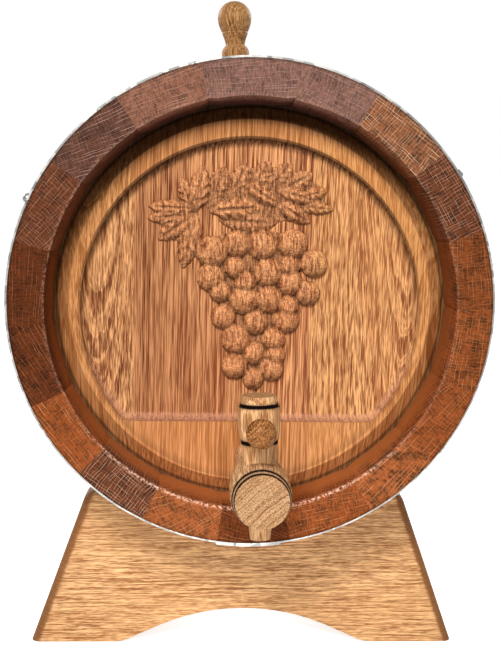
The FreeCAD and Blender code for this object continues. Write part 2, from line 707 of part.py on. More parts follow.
def make_head_board(doc, name, cask, left, right, panelled=False, tapped=False):
    """A board of a head, between two joints; None stands for the rim.

    It is drawn with its outer face towards the front."""
    sizes = cask.sizes
    body = new_body(doc, name)
    face = sizes["chime_depth"]
    back = face + sizes["head_thickness"]
    rim = cask.croze_radius - sizes["croze_gap"]
    brim = sizes["head_bore"] - sizes["croze_gap"]
    disc = new_sketch(body, "disc", "YZ_Plane")
    draw_outline(
        disc,
        [
            (face, 0),
            (back, 0),
            (back, brim - sizes["head_back_bevel"]),
            (cask.croze_end, brim),
            (cask.croze_end, rim),
            (cask.croze_start, rim),
            (cask.croze_start, brim),
            (face, brim - sizes["head_bevel"]),
        ],
    )
    turned(body, "Revolution", "disc", disc)
    if panelled:
        sink_panel(body, sizes)
    reach = cask.croze_radius + CUT_MARGIN
    for side, joint, waste_from, waste_to in (("left", left, -reach, left), ("right", right, right, reach)):
        if joint is None:
            continue
        waste = new_sketch(body, f"{side}_edge", "XZ_Plane")
        draw_outline(waste, rectangle(waste_from, -reach, waste_to, reach))
        extruded(body, "Pocket", f"{side}_edge", waste)
        holes = new_sketch(body, f"{side}_dowel_holes", "YZ_Plane", shift=(0, 0, joint))
        radius = sizes["head_dowel_radius"] + sizes["dowel_gap"]
        for height in (sizes["head_dowel_height"], -sizes["head_dowel_height"]):
            draw_circle(holes, head_dowel_depth(sizes), height, radius)
        length = sizes["head_dowel_length"] + 2 * sizes["dowel_gap"]
        extruded(body, "Pocket", f"{side}_dowel_holes", holes, length=length, both_ways=True)
    if tapped:
        hole = new_sketch(body, "tap_hole", "YZ_Plane", shift=(0, -sizes["tap_drop"], sizes["tap_side"]))
        wide = sizes["tap_seat_radius"] + sizes["tap_gap"]
        narrow = tap_radius_behind_head(sizes) + sizes["tap_gap"]
        draw_outline(hole, [(face, 0), (back, 0), (back, narrow), (face, wide)])
        turned(body, "Groove", "tap_hole", hole)
    return body


def tap_radius_behind_head(sizes):
    """Radius of the tap's tapered tail where it leaves the back of the head."""
    loss = sizes["tap_seat_radius"] - sizes["tap_tail_radius"]
    share = sizes["head_thickness"] / (sizes["head_thickness"] + sizes["tap_tail_reach"])
    return sizes["tap_seat_radius"] - loss * share


def sink_panel(body, sizes):
    """Sink the panel of the front head: part of a circle with a level sill, edged by a cove."""
    floor = sizes["chime_depth"] + sizes["panel_depth"]
    radius, drop, sill = sizes["panel_radius"], sizes["panel_drop"], sizes["panel_sill"]
    half_sill = root(radius * radius - (sill - drop) * (sill - drop))
    panel = new_sketch(body, "panel", "XZ_Plane")
    draw_outline(
        panel,
        [
            (half_sill, -sill, radius, ANTICLOCKWISE),
            (0, radius - drop, radius, ANTICLOCKWISE),
            (-half_sill, -sill),
        ],
    )
    extruded(body, "Pocket", "panel", panel, length=floor)

    def is_corner(edge):
        """An edge through the wood at one end of the sill."""
        return lies_at(edge, z=-sill.value) and runs_through(edge)

    def is_floor(edge):
        """An edge round the floor of the panel."""
        return lies_at(edge, y=floor.value)

    rounded(body, "panel_corners", is_corner, sizes["panel_corner"])
    cove = smaller(sizes["panel_cove"], smaller(sizes["panel_corner"], sizes["panel_depth"]) * FILLET_SHARE)
    rounded(body, "panel_cove", is_floor, cove)


def make_heads(doc, cask):
    """The boards of both heads, the back one turned to face the rear."""
    sizes = cask.sizes
    left, right = -sizes["front_joint_left"], sizes["front_joint_right"]
    front = [
        make_head_board(doc, "front_head_left_board", cask, None, left, panelled=True),
        make_head_board(doc, "front_head_middle_board", cask, left, right, panelled=True, tapped=True),
        make_head_board(doc, "front_head_right_board", cask, right, None, panelled=True),
    ]
    left, right = -sizes["back_joint_left"], sizes["back_joint_right"]
    back = [
        make_head_board(doc, "back_head_left_board", cask, None, left),
        make_head_board(doc, "back_head_middle_board", cask, left, right),
        make_head_board(doc, "back_head_right_board", cask, right, None),
    ]
    for board in front:
        place(board, 0, cask.front, cask.axis_height)
    for board in back:
        place(board, 0, cask.front + sizes["cask_length"], cask.axis_height, ALONG_Z, HALF_TURN)
    return front + back


def dowel_group(doc, name, spots, axis, radius, length):
    """One node of identical dowels, each centred on a spot along an axis."""
    dowels = []
    for number, spot in enumerate(spots, 1):
        dowel = doc.addObject("Part::Cylinder", f"{name}_{number}")
        bind(dowel, "Radius", radius)
        bind(dowel, "Height", length)
        if axis == ALONG_X:
            place(dowel, spot[0] - length / 2, spot[1], spot[2], ALONG_Y, QUARTER_TURN)
        else:
            place(dowel, spot[0], spot[1] - length / 2, spot[2], ALONG_X, -QUARTER_TURN)
        dowels.append(dowel)
    group = doc.addObject("Part::Compound", name)
    group.Label = name
    group.Links = dowels
    return group


def make_head_dowels(doc, cask):
    """The dowels hidden in the joints between head boards."""
    sizes = cask.sizes
    depth = head_dowel_depth(sizes)
    front_y = cask.front + depth
    back_y = cask.front + sizes["cask_length"] - depth
    spots = []
    for y, joints in (
        (front_y, (-sizes["front_joint_left"], sizes["front_joint_right"])),
        (back_y, (sizes["back_joint_left"], -sizes["back_joint_right"])),
    ):
        for joint in joints:
            for height in (sizes["head_dowel_height"], -sizes["head_dowel_height"]):
                spots.append((joint, y, cask.axis_height + height))
    radius, length = sizes["head_dowel_radius"], sizes["head_dowel_length"]
    return dowel_group(doc, "head_dowels", spots, ALONG_X, radius, length)


def make_bung(doc, cask):
    """The bung: a tapered plug under a round-shouldered foot, a neck, a bead and an egg-shaped knob."""
    sizes = cask.sizes
    depth = sizes["bilge_wall"] + sizes["bung_tip"]
    taper = sizes["bung_taper"] / (sizes["bilge_wall"] + sizes["bung_taper"] + CUT_MARGIN)
    seat = depth + sizes["bung_seat_gap"]
    plug_top = sizes["bung_hole_radius"] - sizes["bung_gap"] + taper * (sizes["bung_seat_gap"] - CUT_MARGIN)
    plug_tip = plug_top - taper * seat
    foot = depth + sizes["bung_foot_height"]
    shoulder = foot - sizes["bung_shoulder_height"]
    neck = foot + sizes["bung_neck_rise"]
    bead = neck + sizes["bung_bead_rise"]
    knob = bead + sizes["bung_knob_rise"]
    step, top = bead + sizes["bung_step_height"], knob + sizes["bung_crown_rise"]
    widest, crown = sizes["bung_knob_radius"], sizes["bung_crown_rise"]
    crown_bend = (widest * widest + crown * crown) / (2 * crown)
    body = new_body(doc, "bung")
    section = new_sketch(body, "section", "YZ_Plane")
    draw_outline(
        section,
        [
            (0, 0),
            (plug_tip, 0),
            (plug_top, seat),
            (sizes["bung_foot_radius"], seat),
            (sizes["bung_foot_radius"], shoulder, sizes["bung_shoulder_bend"], ANTICLOCKWISE),
            (sizes["bung_shoulder_radius"], foot, sizes["bung_hollow_bend"], CLOCKWISE),
            (sizes["bung_neck_radius"], neck, sizes["bung_neck_bend"], CLOCKWISE),
            (sizes["bung_bead_radius"], bead),
            (sizes["bung_bead_radius"] - sizes["bung_step"], step, sizes["bung_knob_bend"], ANTICLOCKWISE),
            (widest, knob, crown_bend, ANTICLOCKWISE),
            (0, top),
        ],
    )
    turned(body, "Revolution", "turning", section, axis="V_Axis")
    clock = cask.bung_clock()
    start = sizes["bilge_radius"] - depth
    place(
        body, sine(clock) * start, cask.front + cask.middle,
        cask.axis_height + cosine(clock) * start, ALONG_Y, clock,
    )
    return body


def burn_ring(body, name, sizes, axis, along, radius):
    """Cut a burnt ring into a turned piece, at a place along its axis."""
    sketch = new_sketch(body, name, "YZ_Plane")
    half = sizes["ring_width"] / 2
    bottom, brim = radius - sizes["ring_depth"], radius + sizes["ring_depth"]
    if axis == "H_Axis":
        corners = [(along - half, brim), (along, bottom), (along + half, brim)]
    else:
        corners = [(bottom, along), (brim, along - half), (brim, along + half)]
    draw_outline(sketch, corners)
    return turned(body, "Groove", name, sketch, axis=axis)


def make_tap_body(doc, cask):
    """The tap's body: turned, tapered into the head, bored along its axis and across for the key."""
    sizes = cask.sizes
    seat = sizes["tap_reach"] + sizes["chime_depth"]
    tail = seat + sizes["head_thickness"] + sizes["tap_tail_reach"]
    nose_run = sizes["tap_body_start"] - sizes["tap_nose_length"]
    nose_rise = sizes["tap_body_radius"] - sizes["tap_nose_radius"]
    nose_bend = (nose_run * nose_run + nose_rise * nose_rise) / (2 * nose_rise)
    waist_run = sizes["tap_waist_start"] - sizes["tap_body_length"]
    waist_fall = sizes["tap_body_radius"] - sizes["tap_waist_radius"]
    shoulder_bend = (waist_run * waist_run + waist_fall * waist_fall) / (2 * waist_fall)
    body = new_body(doc, "tap_body")
    section = new_sketch(body, "section", "YZ_Plane")
    draw_outline(
        section,
        [
            (0, 0),
            (tail, 0),
            (tail, sizes["tap_tail_radius"]),
            (seat, sizes["tap_seat_radius"], sizes["tap_waist_bend"], CLOCKWISE),
            (sizes["tap_waist_start"], sizes["tap_waist_radius"], shoulder_bend, ANTICLOCKWISE),
            (sizes["tap_body_length"], sizes["tap_body_radius"]),
            (sizes["tap_body_start"], sizes["tap_body_radius"], nose_bend, ANTICLOCKWISE),
            (sizes["tap_nose_length"], sizes["tap_nose_radius"]),
            (0, sizes["tap_end_radius"]),
        ],
    )
    turned(body, "Revolution", "turning", section)
    slope = (sizes["tap_nose_radius"] - sizes["tap_end_radius"]) / sizes["tap_nose_length"]
    first = sizes["tap_end_radius"] + slope * sizes["ring_setback"]
    burn_ring(body, "first_ring", sizes, "H_Axis", sizes["ring_setback"], first)
    burn_ring(body, "second_ring", sizes, "H_Axis", sizes["tap_nose_length"], sizes["tap_nose_radius"])

    reach = sizes["tap_body_radius"] + CUT_MARGIN
    across = new_sketch(body, "key_hole", "YZ_Plane", shift=(sizes["key_setback"], -reach, 0))
    height = 2 * reach
    low, high = (radius + sizes["key_gap"] for radius in key_radii_in_tap(sizes))
    draw_outline(across, [(0, 0), (low, 0), (high, height), (0, height)])
    turned(body, "Groove", "key_hole", across, axis="V_Axis")

    bore = new_sketch(body, "bore", "YZ_Plane")
    draw_outline(bore, rectangle(sizes["key_setback"], 0, tail, sizes["tap_bore_radius"]))
    turned(body, "Groove", "bore", bore)
    place(
        body, sizes["tap_side"], cask.front - sizes["tap_reach"], cask.tap_height, ALONG_Y, sizes["tap_turn"]
    )
    return body


def place_on_key(body, cask, along, height):
    """Place a body on the key's leaning axis, at a height above the tap's axis."""
    turn = cask.sizes["tap_turn"]
    place(
        body, cask.sizes["tap_side"] + sine(turn) * height, along,
        cask.tap_height + cosine(turn) * height, ALONG_Y, turn,
    )


def key_radii_in_tap(sizes):
    """Radii of the key's taper where its hole in the tap's body begins and ends."""
    reach = sizes["tap_body_radius"] + CUT_MARGIN
    run = sizes["key_drop"] + reach
    slope = (sizes["key_seat_radius"] - sizes["key_foot_radius"]) / run
    low = sizes["key_foot_radius"] + slope * (sizes["key_drop"] - reach)
    return low, sizes["key_seat_radius"]


def make_tap_key(doc, cask):
    """The tap's key: a taper through the body, bored up to a side port, under a neck and a head."""
    sizes = cask.sizes
    axis = sizes["key_drop"]
    seat = axis + sizes["tap_body_radius"] + CUT_MARGIN
    top = axis + sizes["key_rise"]
    head = axis + sizes["key_head_start"]
    body = new_body(doc, "tap_key")
    section = new_sketch(body, "section", "YZ_Plane")
    draw_outline(
        section,
        [
            (0, 0),
            (sizes["key_foot_radius"], 0),
            (sizes["key_seat_radius"], seat),
            (sizes["key_neck_radius"], head - sizes["key_head_bevel"]),
            (sizes["key_collar_radius"], head, sizes["key_head_bend"], ANTICLOCKWISE),
            (sizes["key_head_radius"], top - sizes["key_top_bevel"]),
            (sizes["key_top_radius"], top),
            (0, top),
        ],
    )
    turned(body, "Revolution", "turning", section, axis="V_Axis")
    high_ring = top - sizes["key_high_ring"]
    burn_ring(body, "low_ring", sizes, "V_Axis", head + sizes["key_low_ring"], sizes["key_collar_radius"])
    burn_ring(body, "high_ring", sizes, "V_Axis", high_ring, sizes["key_head_radius"])

    outlet = new_sketch(body, "outlet", "YZ_Plane")
    draw_outline(outlet, rectangle(0, 0, sizes["key_port_radius"], axis))
    turned(body, "Groove", "outlet", outlet, axis="V_Axis")
    port = new_sketch(body, "port", "YZ_Plane")
    draw_circle(port, 0, axis, sizes["key_port_radius"])
    extruded(body, "Pocket", "port", port, length=2 * sizes["key_seat_radius"], backward=True)
    socket = new_sketch(body, "peg_socket", "XZ_Plane")
    draw_circle(socket, 0, axis + sizes["peg_height"], sizes["peg_stem_radius"] + sizes["peg_gap"])
    extruded(body, "Pocket", "peg_socket", socket, length=2 * sizes["key_head_radius"], backward=True)
    place_on_key(body, cask, cask.key_y, -sizes["key_drop"])
    return body


def make_tap_peg(doc, cask):
    """The handle peg: a domed knob on a stem that ends in the key."""
    sizes = cask.sizes
    reach = sizes["peg_reach"]
    tail = reach - sizes["peg_gap"]
    widest = sizes["peg_knob_widest"]
    dome = sizes["peg_knob_radius"]
    tip_bend = (dome * dome + widest * widest) / (2 * widest)
    body = new_body(doc, "tap_handle_peg")
    section = new_sketch(body, "section", "YZ_Plane")
    draw_outline(
        section,
        [
            (0, 0),
            (tail, 0),
            (tail, sizes["peg_stem_radius"]),
            (reach - sizes["key_head_radius"], sizes["peg_stem_radius"]),
            (sizes["peg_knob_length"], sizes["peg_shoulder_radius"], sizes["peg_knob_length"], ANTICLOCKWISE),
            (widest, dome, tip_bend, ANTICLOCKWISE),
        ],
    )
    turned(body, "Revolution", "turning", section)
    place_on_key(body, cask, cask.key_y - reach, sizes["peg_height"])
    return body


def make_cradle_board(doc, name, cask):
    """A board of the stand: arched below, splayed at the sides, cut above to the cask's own curve."""
    sizes = cask.sizes
    face = sizes["board_setback"]
    back = face + sizes["board_thickness"]
    top = sizes["arch_height"] + sizes["board_waist"] + sizes["board_horn_rise"]
    sagitta = cask.axis_height - top
    half_top = root(cask.cradle_radius * cask.cradle_radius - sagitta * sagitta) + sizes["board_horn_width"]
    half_foot = half_top + sizes["board_splay"]

    slope, foot_bend = sizes["arch_slope"], sizes["arch_foot_radius"]
    half_arch, rise = sizes["arch_half_width"], sizes["arch_height"]
    bends = (half_arch * sine(slope) - rise * cosine(slope)) / (1 - cosine(slope))
    crown_bend = bends - foot_bend
    foot_x = half_arch - foot_bend * sine(slope)
    foot_z = foot_bend * (1 - cosine(slope))
    crown_x = crown_bend * sine(slope)
    crown_z = rise - crown_bend * (1 - cosine(slope))

    body = new_body(doc, name)
    board = new_sketch(body, "board", "XZ_Plane", shift=(0, 0, -face))
    draw_outline(
        board,
        [
            (half_foot, 0),
            (half_top, top),
            (-half_top, top),
            (-half_foot, 0),
            (-half_arch, 0, foot_bend, ANTICLOCKWISE),
            (-foot_x, foot_z),
            (-crown_x, crown_z, crown_bend, CLOCKWISE),
            (crown_x, crown_z),
            (foot_x, foot_z, foot_bend, ANTICLOCKWISE),
            (half_arch, 0),
        ],
    )
    extruded(body, "Pad", "board", board, length=sizes["board_thickness"], backward=True)

    def is_top_corner(edge):
        """The edge through the board at a top corner."""
        return lies_at(edge, z=top.value) and runs_through(edge)

    def is_outer_edge(edge):
        """A front or back edge round the sides and the top."""
        flat = lies_at(edge, y=face.value) or lies_at(edge, y=back.value)
        middle = edge.valueAt((edge.FirstParameter + edge.LastParameter) / 2)
        outside_arch = abs(middle.x) > half_arch.value or middle.z > rise.value + NEAR
        return flat and outside_arch and middle.z > NEAR

    rounded(body, "top_corners", is_top_corner, sizes["board_corner"])
    rounding = smaller(sizes["board_round"], sizes["board_corner"] * FILLET_SHARE)
    rounded(body, "outer_edges", is_outer_edge, rounding)

    seat = new_sketch(body, "seat", "YZ_Plane", shift=(0, cask.axis_height, 0))
    gap, near, far = sizes["cradle_gap"], face - CUT_MARGIN, back + CUT_MARGIN
    draw_outline(
        seat,
        [
            (near, 0),
            (far, 0),
            (far, cask.outside(far) + gap, cask.bend + gap, ANTICLOCKWISE),
            (near, cask.outside(near) + gap),
        ],
    )
    turned(body, "Groove", "seat", seat)

    holes = new_sketch(body, "dowel_holes", "XZ_Plane", shift=(0, 0, -back))
    for x, z in rail_dowel_spots(sizes):
        draw_circle(holes, x, z, sizes["stand_dowel_radius"] + sizes["dowel_gap"])
    depth = sizes["stand_dowel_length"] / 2 + sizes["dowel_gap"]
    extruded(body, "Pocket", "dowel_holes", holes, length=depth, backward=True)
    return body


def rail_middle(sizes):
    """Distance of a rail's middle from the stand's middle."""
    return sizes["arch_half_width"] + sizes["rail_inset"] + sizes["rail_thickness"] / 2


def rail_dowel_spots(sizes):
    """Places of the rails' dowels, across and up."""
    low = sizes["rail_clearance"] + sizes["stand_dowel_edge"]
    high = sizes["rail_clearance"] + sizes["rail_height"] - sizes["stand_dowel_edge"]
    middle = rail_middle(sizes)
    return [(side * middle, height) for side in (-1, 1) for height in (low, high)]


def make_rail(doc, name, cask, side):
    """A rail between the cradle boards, drilled at both ends."""
    sizes = cask.sizes
    start = sizes["board_setback"] + sizes["board_thickness"]
    length = sizes["cask_length"] - 2 * start
    half = sizes["rail_thickness"] / 2
    body = new_body(doc, name)
    section = new_sketch(body, "section", "XZ_Plane")
    draw_outline(section, rectangle(-half, 0, half, sizes["rail_height"]))
    extruded(body, "Pad", "rail", section, length=length, backward=True)
    depth = sizes["stand_dowel_length"] / 2 + sizes["dowel_gap"]
    heights = (sizes["stand_dowel_edge"], sizes["rail_height"] - sizes["stand_dowel_edge"])
    for end, shift, backward in (("front", 0, False), ("back", -length, True)):
        holes = new_sketch(body, f"{end}_holes", "XZ_Plane", shift=(0, 0, shift))
        for height in heights:
            draw_circle(holes, 0, height, sizes["stand_dowel_radius"] + sizes["dowel_gap"])
        extruded(body, "Pocket", f"{end}_holes", holes, length=depth, backward=backward)
    place(body, side * rail_middle(sizes), cask.front + start, sizes["rail_clearance"])
    return body


def make_stand(doc, cask):
    """The stand: two cradle boards, two rails and their dowels."""
    sizes = cask.sizes
    front = make_cradle_board(doc, "front_cradle_board", cask)
    place(front, 0, cask.front, 0)
    back = make_cradle_board(doc, "back_cradle_board", cask)
    place(back, 0, cask.front + sizes["cask_length"], 0, ALONG_Z, HALF_TURN)
    rails = [make_rail(doc, "left_rail", cask, -1), make_rail(doc, "right_rail", cask, 1)]
    near = cask.front + sizes["board_setback"] + sizes["board_thickness"]
    far = cask.front + sizes["cask_length"] - sizes["board_setback"] - sizes["board_thickness"]
    spots = [(x, y, z) for y in (near, far) for x, z in rail_dowel_spots(sizes)]
    dowels = dowel_group(
        doc, "stand_dowels", spots, ALONG_Y, sizes["stand_dowel_radius"], sizes["stand_dowel_length"]
    )
    return [front, back, *rails, dowels]


def check_document(doc, nodes):
    """Stop if any object failed to build or any sub-part is not a valid shape."""
    for item in doc.Objects:
        if any(word in item.State for word in ("Invalid", "Error")):
            raise RuntimeError(f"{item.Name} failed to build: {item.State}")
    for node in nodes:
        if node.Shape.isNull() or not node.Shape.isValid() or not node.Shape.Solids:
            raise RuntimeError(f"{node.Label} is not a valid solid")


def main():
    """Build the cask and its stand and write each piece to its own file."""
    doc = FreeCAD.newDocument("oak_cask_dispenser")
    cask = Cask(make_sheet(doc))
    nodes = [make_stave(doc, cask, number) for number in range(1, len(STAVE_WIDTHS) + 1)]
    nodes += make_heads(doc, cask)
    nodes.append(make_head_dowels(doc, cask))
    for name, start in hoop_starts(cask).items():
        nodes.append(make_hoop(doc, name, cask, start, nailed="chime" in name))
    nodes += [make_rivets(doc, cask), make_nails(doc, cask), make_bung(doc, cask)]
    nodes += [make_tap_body(doc, cask), make_tap_key(doc, cask), make_tap_peg(doc, cask)]
    nodes += make_stand(doc, cask)
    doc.recompute()
    check_document(doc, nodes)
    os.makedirs(PARTS_FOLDER, exist_ok=True)
    for node in nodes:
        node.Shape.exportStep(os.path.join(PARTS_FOLDER, f"{node.Label}.step"))
        box = node.Shape.BoundBox
        ends = (box.XMin, box.XMax, box.YMin, box.YMax, box.ZMin, box.ZMax)
        spans = "x {:.1f}..{:.1f}, y {:.1f}..{:.1f}, z {:.1f}..{:.1f}".format(*ends)
        print(f"{node.Label}: {len(node.Shape.Solids)} solids, {node.Shape.Volume:.0f} mm3, {spans}")


main()
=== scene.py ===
"""Finishes, carving, camera and studio for a small oak serving cask on its cradle stand.

Lengths are metres. The cask's axis runs along Y, its front head faces -Y and +Z is up. A clock angle runs
clockwise from the top, as seen from the front.
"""

from __future__ import annotations

import json
import logging
import math
from dataclasses import dataclass, field
from enum import Enum
from typing import Any, Sequence, Union

import bpy
import numpy as np
from mathutils import Euler, Matrix, Vector, noise

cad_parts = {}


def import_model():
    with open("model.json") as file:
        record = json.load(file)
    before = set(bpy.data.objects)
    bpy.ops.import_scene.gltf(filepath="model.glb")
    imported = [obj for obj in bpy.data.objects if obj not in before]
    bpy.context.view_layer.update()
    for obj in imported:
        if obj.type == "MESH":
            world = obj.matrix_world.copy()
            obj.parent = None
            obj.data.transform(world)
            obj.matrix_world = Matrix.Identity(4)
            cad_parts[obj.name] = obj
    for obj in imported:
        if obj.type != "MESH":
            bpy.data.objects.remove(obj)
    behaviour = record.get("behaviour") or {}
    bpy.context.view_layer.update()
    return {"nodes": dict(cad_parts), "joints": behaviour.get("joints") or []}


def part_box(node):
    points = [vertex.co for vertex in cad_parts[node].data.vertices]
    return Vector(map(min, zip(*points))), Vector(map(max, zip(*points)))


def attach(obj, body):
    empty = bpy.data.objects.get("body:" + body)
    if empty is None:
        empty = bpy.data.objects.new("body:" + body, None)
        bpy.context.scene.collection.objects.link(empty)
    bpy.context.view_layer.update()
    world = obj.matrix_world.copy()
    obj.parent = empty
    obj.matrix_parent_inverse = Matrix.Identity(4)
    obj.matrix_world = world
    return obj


log = logging.getLogger("cask")

Value = Union[float, Sequence[float], bpy.types.NodeSocket]
Socket = bpy.types.NodeSocket
Point = tuple[float, float, float]

MILLIMETRE = 0.001
UNEVENNESS = 0.85
WHITE = (1, 1, 1, 1)

# where each mark of the grain begins and ends on its noise or distance, and how the fine marks differ
EARLY_WOOD = (0.02, 0.3)
PORE_EDGE = (0.16, 0.4)
FIBRE_EDGE = (0.36, 0.64)
HAIR_EDGE = (0.4, 0.6)
THREAD_EDGE = (0.4, 0.62)
SWIRL_EDGE = (0.38, 0.6)
RIDGE_WIDTH = 0.05
CLOUD_EDGE = (0.42, 0.7)
CUT_ACROSS = (0.35, 0.95)
PORE_SHADE = 0.6
HAIR_FINENESS = 2.4
QUICK_WARP_SHARE = 0.25


def middle(name: str) -> Vector:
    """The middle of a CAD node's box."""
    low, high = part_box(name)
    return (low + high) / 2


@dataclass(frozen=True)
class Places:
    """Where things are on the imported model, read from its nodes."""

    axis: float
    front_chime: float
    back_chime: float
    front_head: float
    back_head: float
    joint_left: float
    joint_right: float
    tap: Vector
    key: Vector
    peg: Vector
    bung: Vector

    @staticmethod
    def read() -> "Places":
        """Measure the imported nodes.

        Returns:
            The places.
        """
        chime_low, chime_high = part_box("stave_10")
        head_low, head_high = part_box("front_head_middle_board")
        _, back_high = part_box("back_head_middle_board")
        _, left_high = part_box("front_head_left_board")
        right_low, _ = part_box("front_head_right_board")
        return Places(
            axis=(head_low.z + head_high.z) / 2,
            front_chime=chime_low.y,
            back_chime=chime_high.y,
            front_head=head_low.y,
            back_head=back_high.y,
            joint_left=left_high.x,
            joint_right=right_low.x,
            tap=middle("tap_body"),
            key=middle("tap_key"),
            peg=middle("tap_handle_peg"),
            bung=middle("bung"),
        )


@dataclass(frozen=True)
class Tone:
    """A colour as it looks on a screen, each channel from 0 to 255."""

    red: float
    green: float
    blue: float

    def linear(self) -> tuple[float, float, float, float]:
        """The colour in the linear values that a shader takes."""
        return (*(self._channel(v / 255) for v in (self.red, self.green, self.blue)), 1.0)

    def shade(self, factor: float) -> "Tone":
        """The same colour, lighter or darker by a factor."""
        return Tone(*(min(255.0, v * factor) for v in (self.red, self.green, self.blue)))

    @staticmethod
    def _channel(value: float) -> float:
        """One screen channel as a linear value."""
        return value / 12.92 if value <= 0.04045 else ((value + 0.055) / 1.055) ** 2.4


@dataclass(frozen=True)
class Mark:
    """A cloudy mark: its noise, per metre along each axis, with its finer octaves, and where it shows.

    It rises from start to end while the noise goes from low to high.
    """

    scale: Point
    detail: float
    rough: float
    low: float
    high: float
    start: float = 0.0
    end: float = 1.0


class Bench:
    """One material on the bench: adds its nodes and wires them."""

    def __init__(self, name: str) -> None:
        """Start a material with an empty principled surface.

        Args:
            name: The material's name.
        """
        self.material = bpy.data.materials.new(name)
        self.material.use_nodes = True
        self.tree = self.material.node_tree
        self.tree.nodes.clear()
        self.shader = self.tree.nodes.new("ShaderNodeBsdfPrincipled")
        self.output = self.tree.nodes.new("ShaderNodeOutputMaterial")
        self.tree.links.new(self.shader.outputs[0], self.output.inputs["Surface"])

    def feed(self, socket: Socket, value: Value) -> None:
        """Set a socket to a value, or wire another socket into it.

        Args:
            socket: The input to fill.
            value: A number, a colour, a vector or an output socket.
        """
        if isinstance(value, bpy.types.NodeSocket):
            self.tree.links.new(value, socket)
        else:
            socket.default_value = value

    def node(self, kind: str, inputs: dict[Any, Value], **settings: Any) -> bpy.types.Node:
        """Add one node.

        Args:
            kind: The node's type name.
            inputs: What goes into its sockets, by name or number.
            settings: Its other settings.

        Returns:
            The new node.
        """
        node = self.tree.nodes.new(kind)
        for key, setting in settings.items():
            setattr(node, key, setting)
        for key, value in inputs.items():
            self.feed(node.inputs[key], value)
        return node

    def sum(self, operation: str, a: Value, b: Value = 0.0, clamp: bool = False) -> Socket:
        """Work out one sum of two numbers."""
        return self.node("ShaderNodeMath", {0: a, 1: b}, operation=operation, use_clamp=clamp).outputs[0]

    def blend(self, *parts: tuple[Value, float]) -> Socket:
        """Add several numbers, each times its own weight.

        Args:
            parts: Each number with its weight.

        Returns:
            The total.
        """
        total: Value = 0.0
        for value, weight in parts:
            node = self.node("ShaderNodeMath", {0: value, 1: weight, 2: total}, operation="MULTIPLY_ADD")
            total = node.outputs[0]
        return total

    def times(self, a: Value, b: Value) -> Socket:
        """Multiply two numbers."""
        return self.sum("MULTIPLY", a, b)

    def minus(self, a: Value, b: Value) -> Socket:
        """Take the second number from the first."""
        return self.sum("SUBTRACT", a, b)

    def vector(self, operation: str, a: Value, b: Value) -> Socket:
        """Work out one sum of two vectors, where the result is a vector."""
        return self.node("ShaderNodeVectorMath", {0: a, 1: b}, operation=operation).outputs[0]

    def length(self, a: Value) -> Socket:
        """The length of a vector."""
        return self.node("ShaderNodeVectorMath", {0: a}, operation="LENGTH").outputs[1]

    def dot(self, a: Value, b: Value) -> Socket:
        """The dot product of two vectors."""
        return self.node("ShaderNodeVectorMath", {0: a, 1: b}, operation="DOT_PRODUCT").outputs[1]

    def split(self, vector: Value) -> tuple[Socket, ...]:
        """The three numbers of a vector."""
        return tuple(self.node("ShaderNodeSeparateXYZ", {0: vector}).outputs)

    def join(self, x: Value, y: Value, z: Value) -> Socket:
        """A vector of three numbers."""
        return self.node("ShaderNodeCombineXYZ", {0: x, 1: y, 2: z}).outputs[0]

    def noise(self, vector: Value, scale: Value, detail: float = 2.0, rough: float = 0.5) -> Socket:
        """Cloudy noise from 0 to 1.

        Args:
            vector: Where to read it.
            scale: How fine it is along each axis, per metre.
            detail: How many finer octaves are added.
            rough: How strong those octaves are.

        Returns:
            The noise value.
        """
        place = self.vector("MULTIPLY", vector, scale)
        inputs = {"Vector": place, "Scale": 1.0, "Detail": detail, "Roughness": rough}
        return self.node("ShaderNodeTexNoise", inputs).outputs[0]

    def cells(self, vector: Value, scale: Value) -> tuple[Socket, Socket]:
        """Scatter cells.

        Args:
            vector: Where to read them.
            scale: How many there are along each axis, per metre.

        Returns:
            The distance to the nearest seed, and a colour for each cell.
        """
        place = self.vector("MULTIPLY", vector, scale)
        node = self.node("ShaderNodeTexVoronoi", {"Vector": place, "Scale": 1.0})
        return node.outputs["Distance"], node.outputs["Color"]

    def seams(self, value: Value, gap: float) -> Socket:
        """Draw many unevenly spaced lines.

        Args:
            value: The number along which they are spaced.
            gap: Their mean gap.

        Returns:
            The distance to the nearest line, as a share of their mean gap.
        """
        inputs = {"W": value, "Scale": 1.0 / gap, "Randomness": UNEVENNESS}
        node = self.node("ShaderNodeTexVoronoi", inputs, voronoi_dimensions="1D", feature="DISTANCE_TO_EDGE")
        return node.outputs["Distance"]

    def rise(self, value: Value, low: float, high: float, start: float = 0.0, end: float = 1.0) -> Socket:
        """A smooth step.

        Args:
            value: The number that is read.
            low: Where the step begins.
            high: Where the step ends.
            start: The result below the step.
            end: The result above the step.

        Returns:
            The stepped number.
        """
        inputs = {0: value, 1: low, 2: high, 3: start, 4: end}
        return self.node("ShaderNodeMapRange", inputs, interpolation_type="SMOOTHSTEP").outputs[0]

    def fall(self, value: Value, low: float, high: float) -> Socket:
        """A smooth step down, from 1 to 0."""
        return self.rise(value, low, high, 1.0, 0.0)

    def mark(self, vector: Value, mark: Mark) -> Socket:
        """Lay one cloudy mark."""
        cloud = self.noise(vector, mark.scale, mark.detail, mark.rough)
        return self.rise(cloud, mark.low, mark.high, mark.start, mark.end)

    def line(self, value: Value, low: float, high: float, start: float = 0.0, end: float = 1.0) -> Socket:
        """A straight ramp with its ends held."""
        inputs = {0: value, 1: low, 2: high, 3: start, 4: end}
        return self.node("ShaderNodeMapRange", inputs).outputs[0]

    def tint(self, factor: Value, a: Value, b: Value) -> Socket:
        """Mix two colours.

        Args:
            factor: How much of the second is used.
            a: The first colour.
            b: The second colour.

        Returns:
            The mixed colour.
        """
        return self.node("ShaderNodeMix", {0: factor, 6: a, 7: b}, data_type="RGBA").outputs[2]

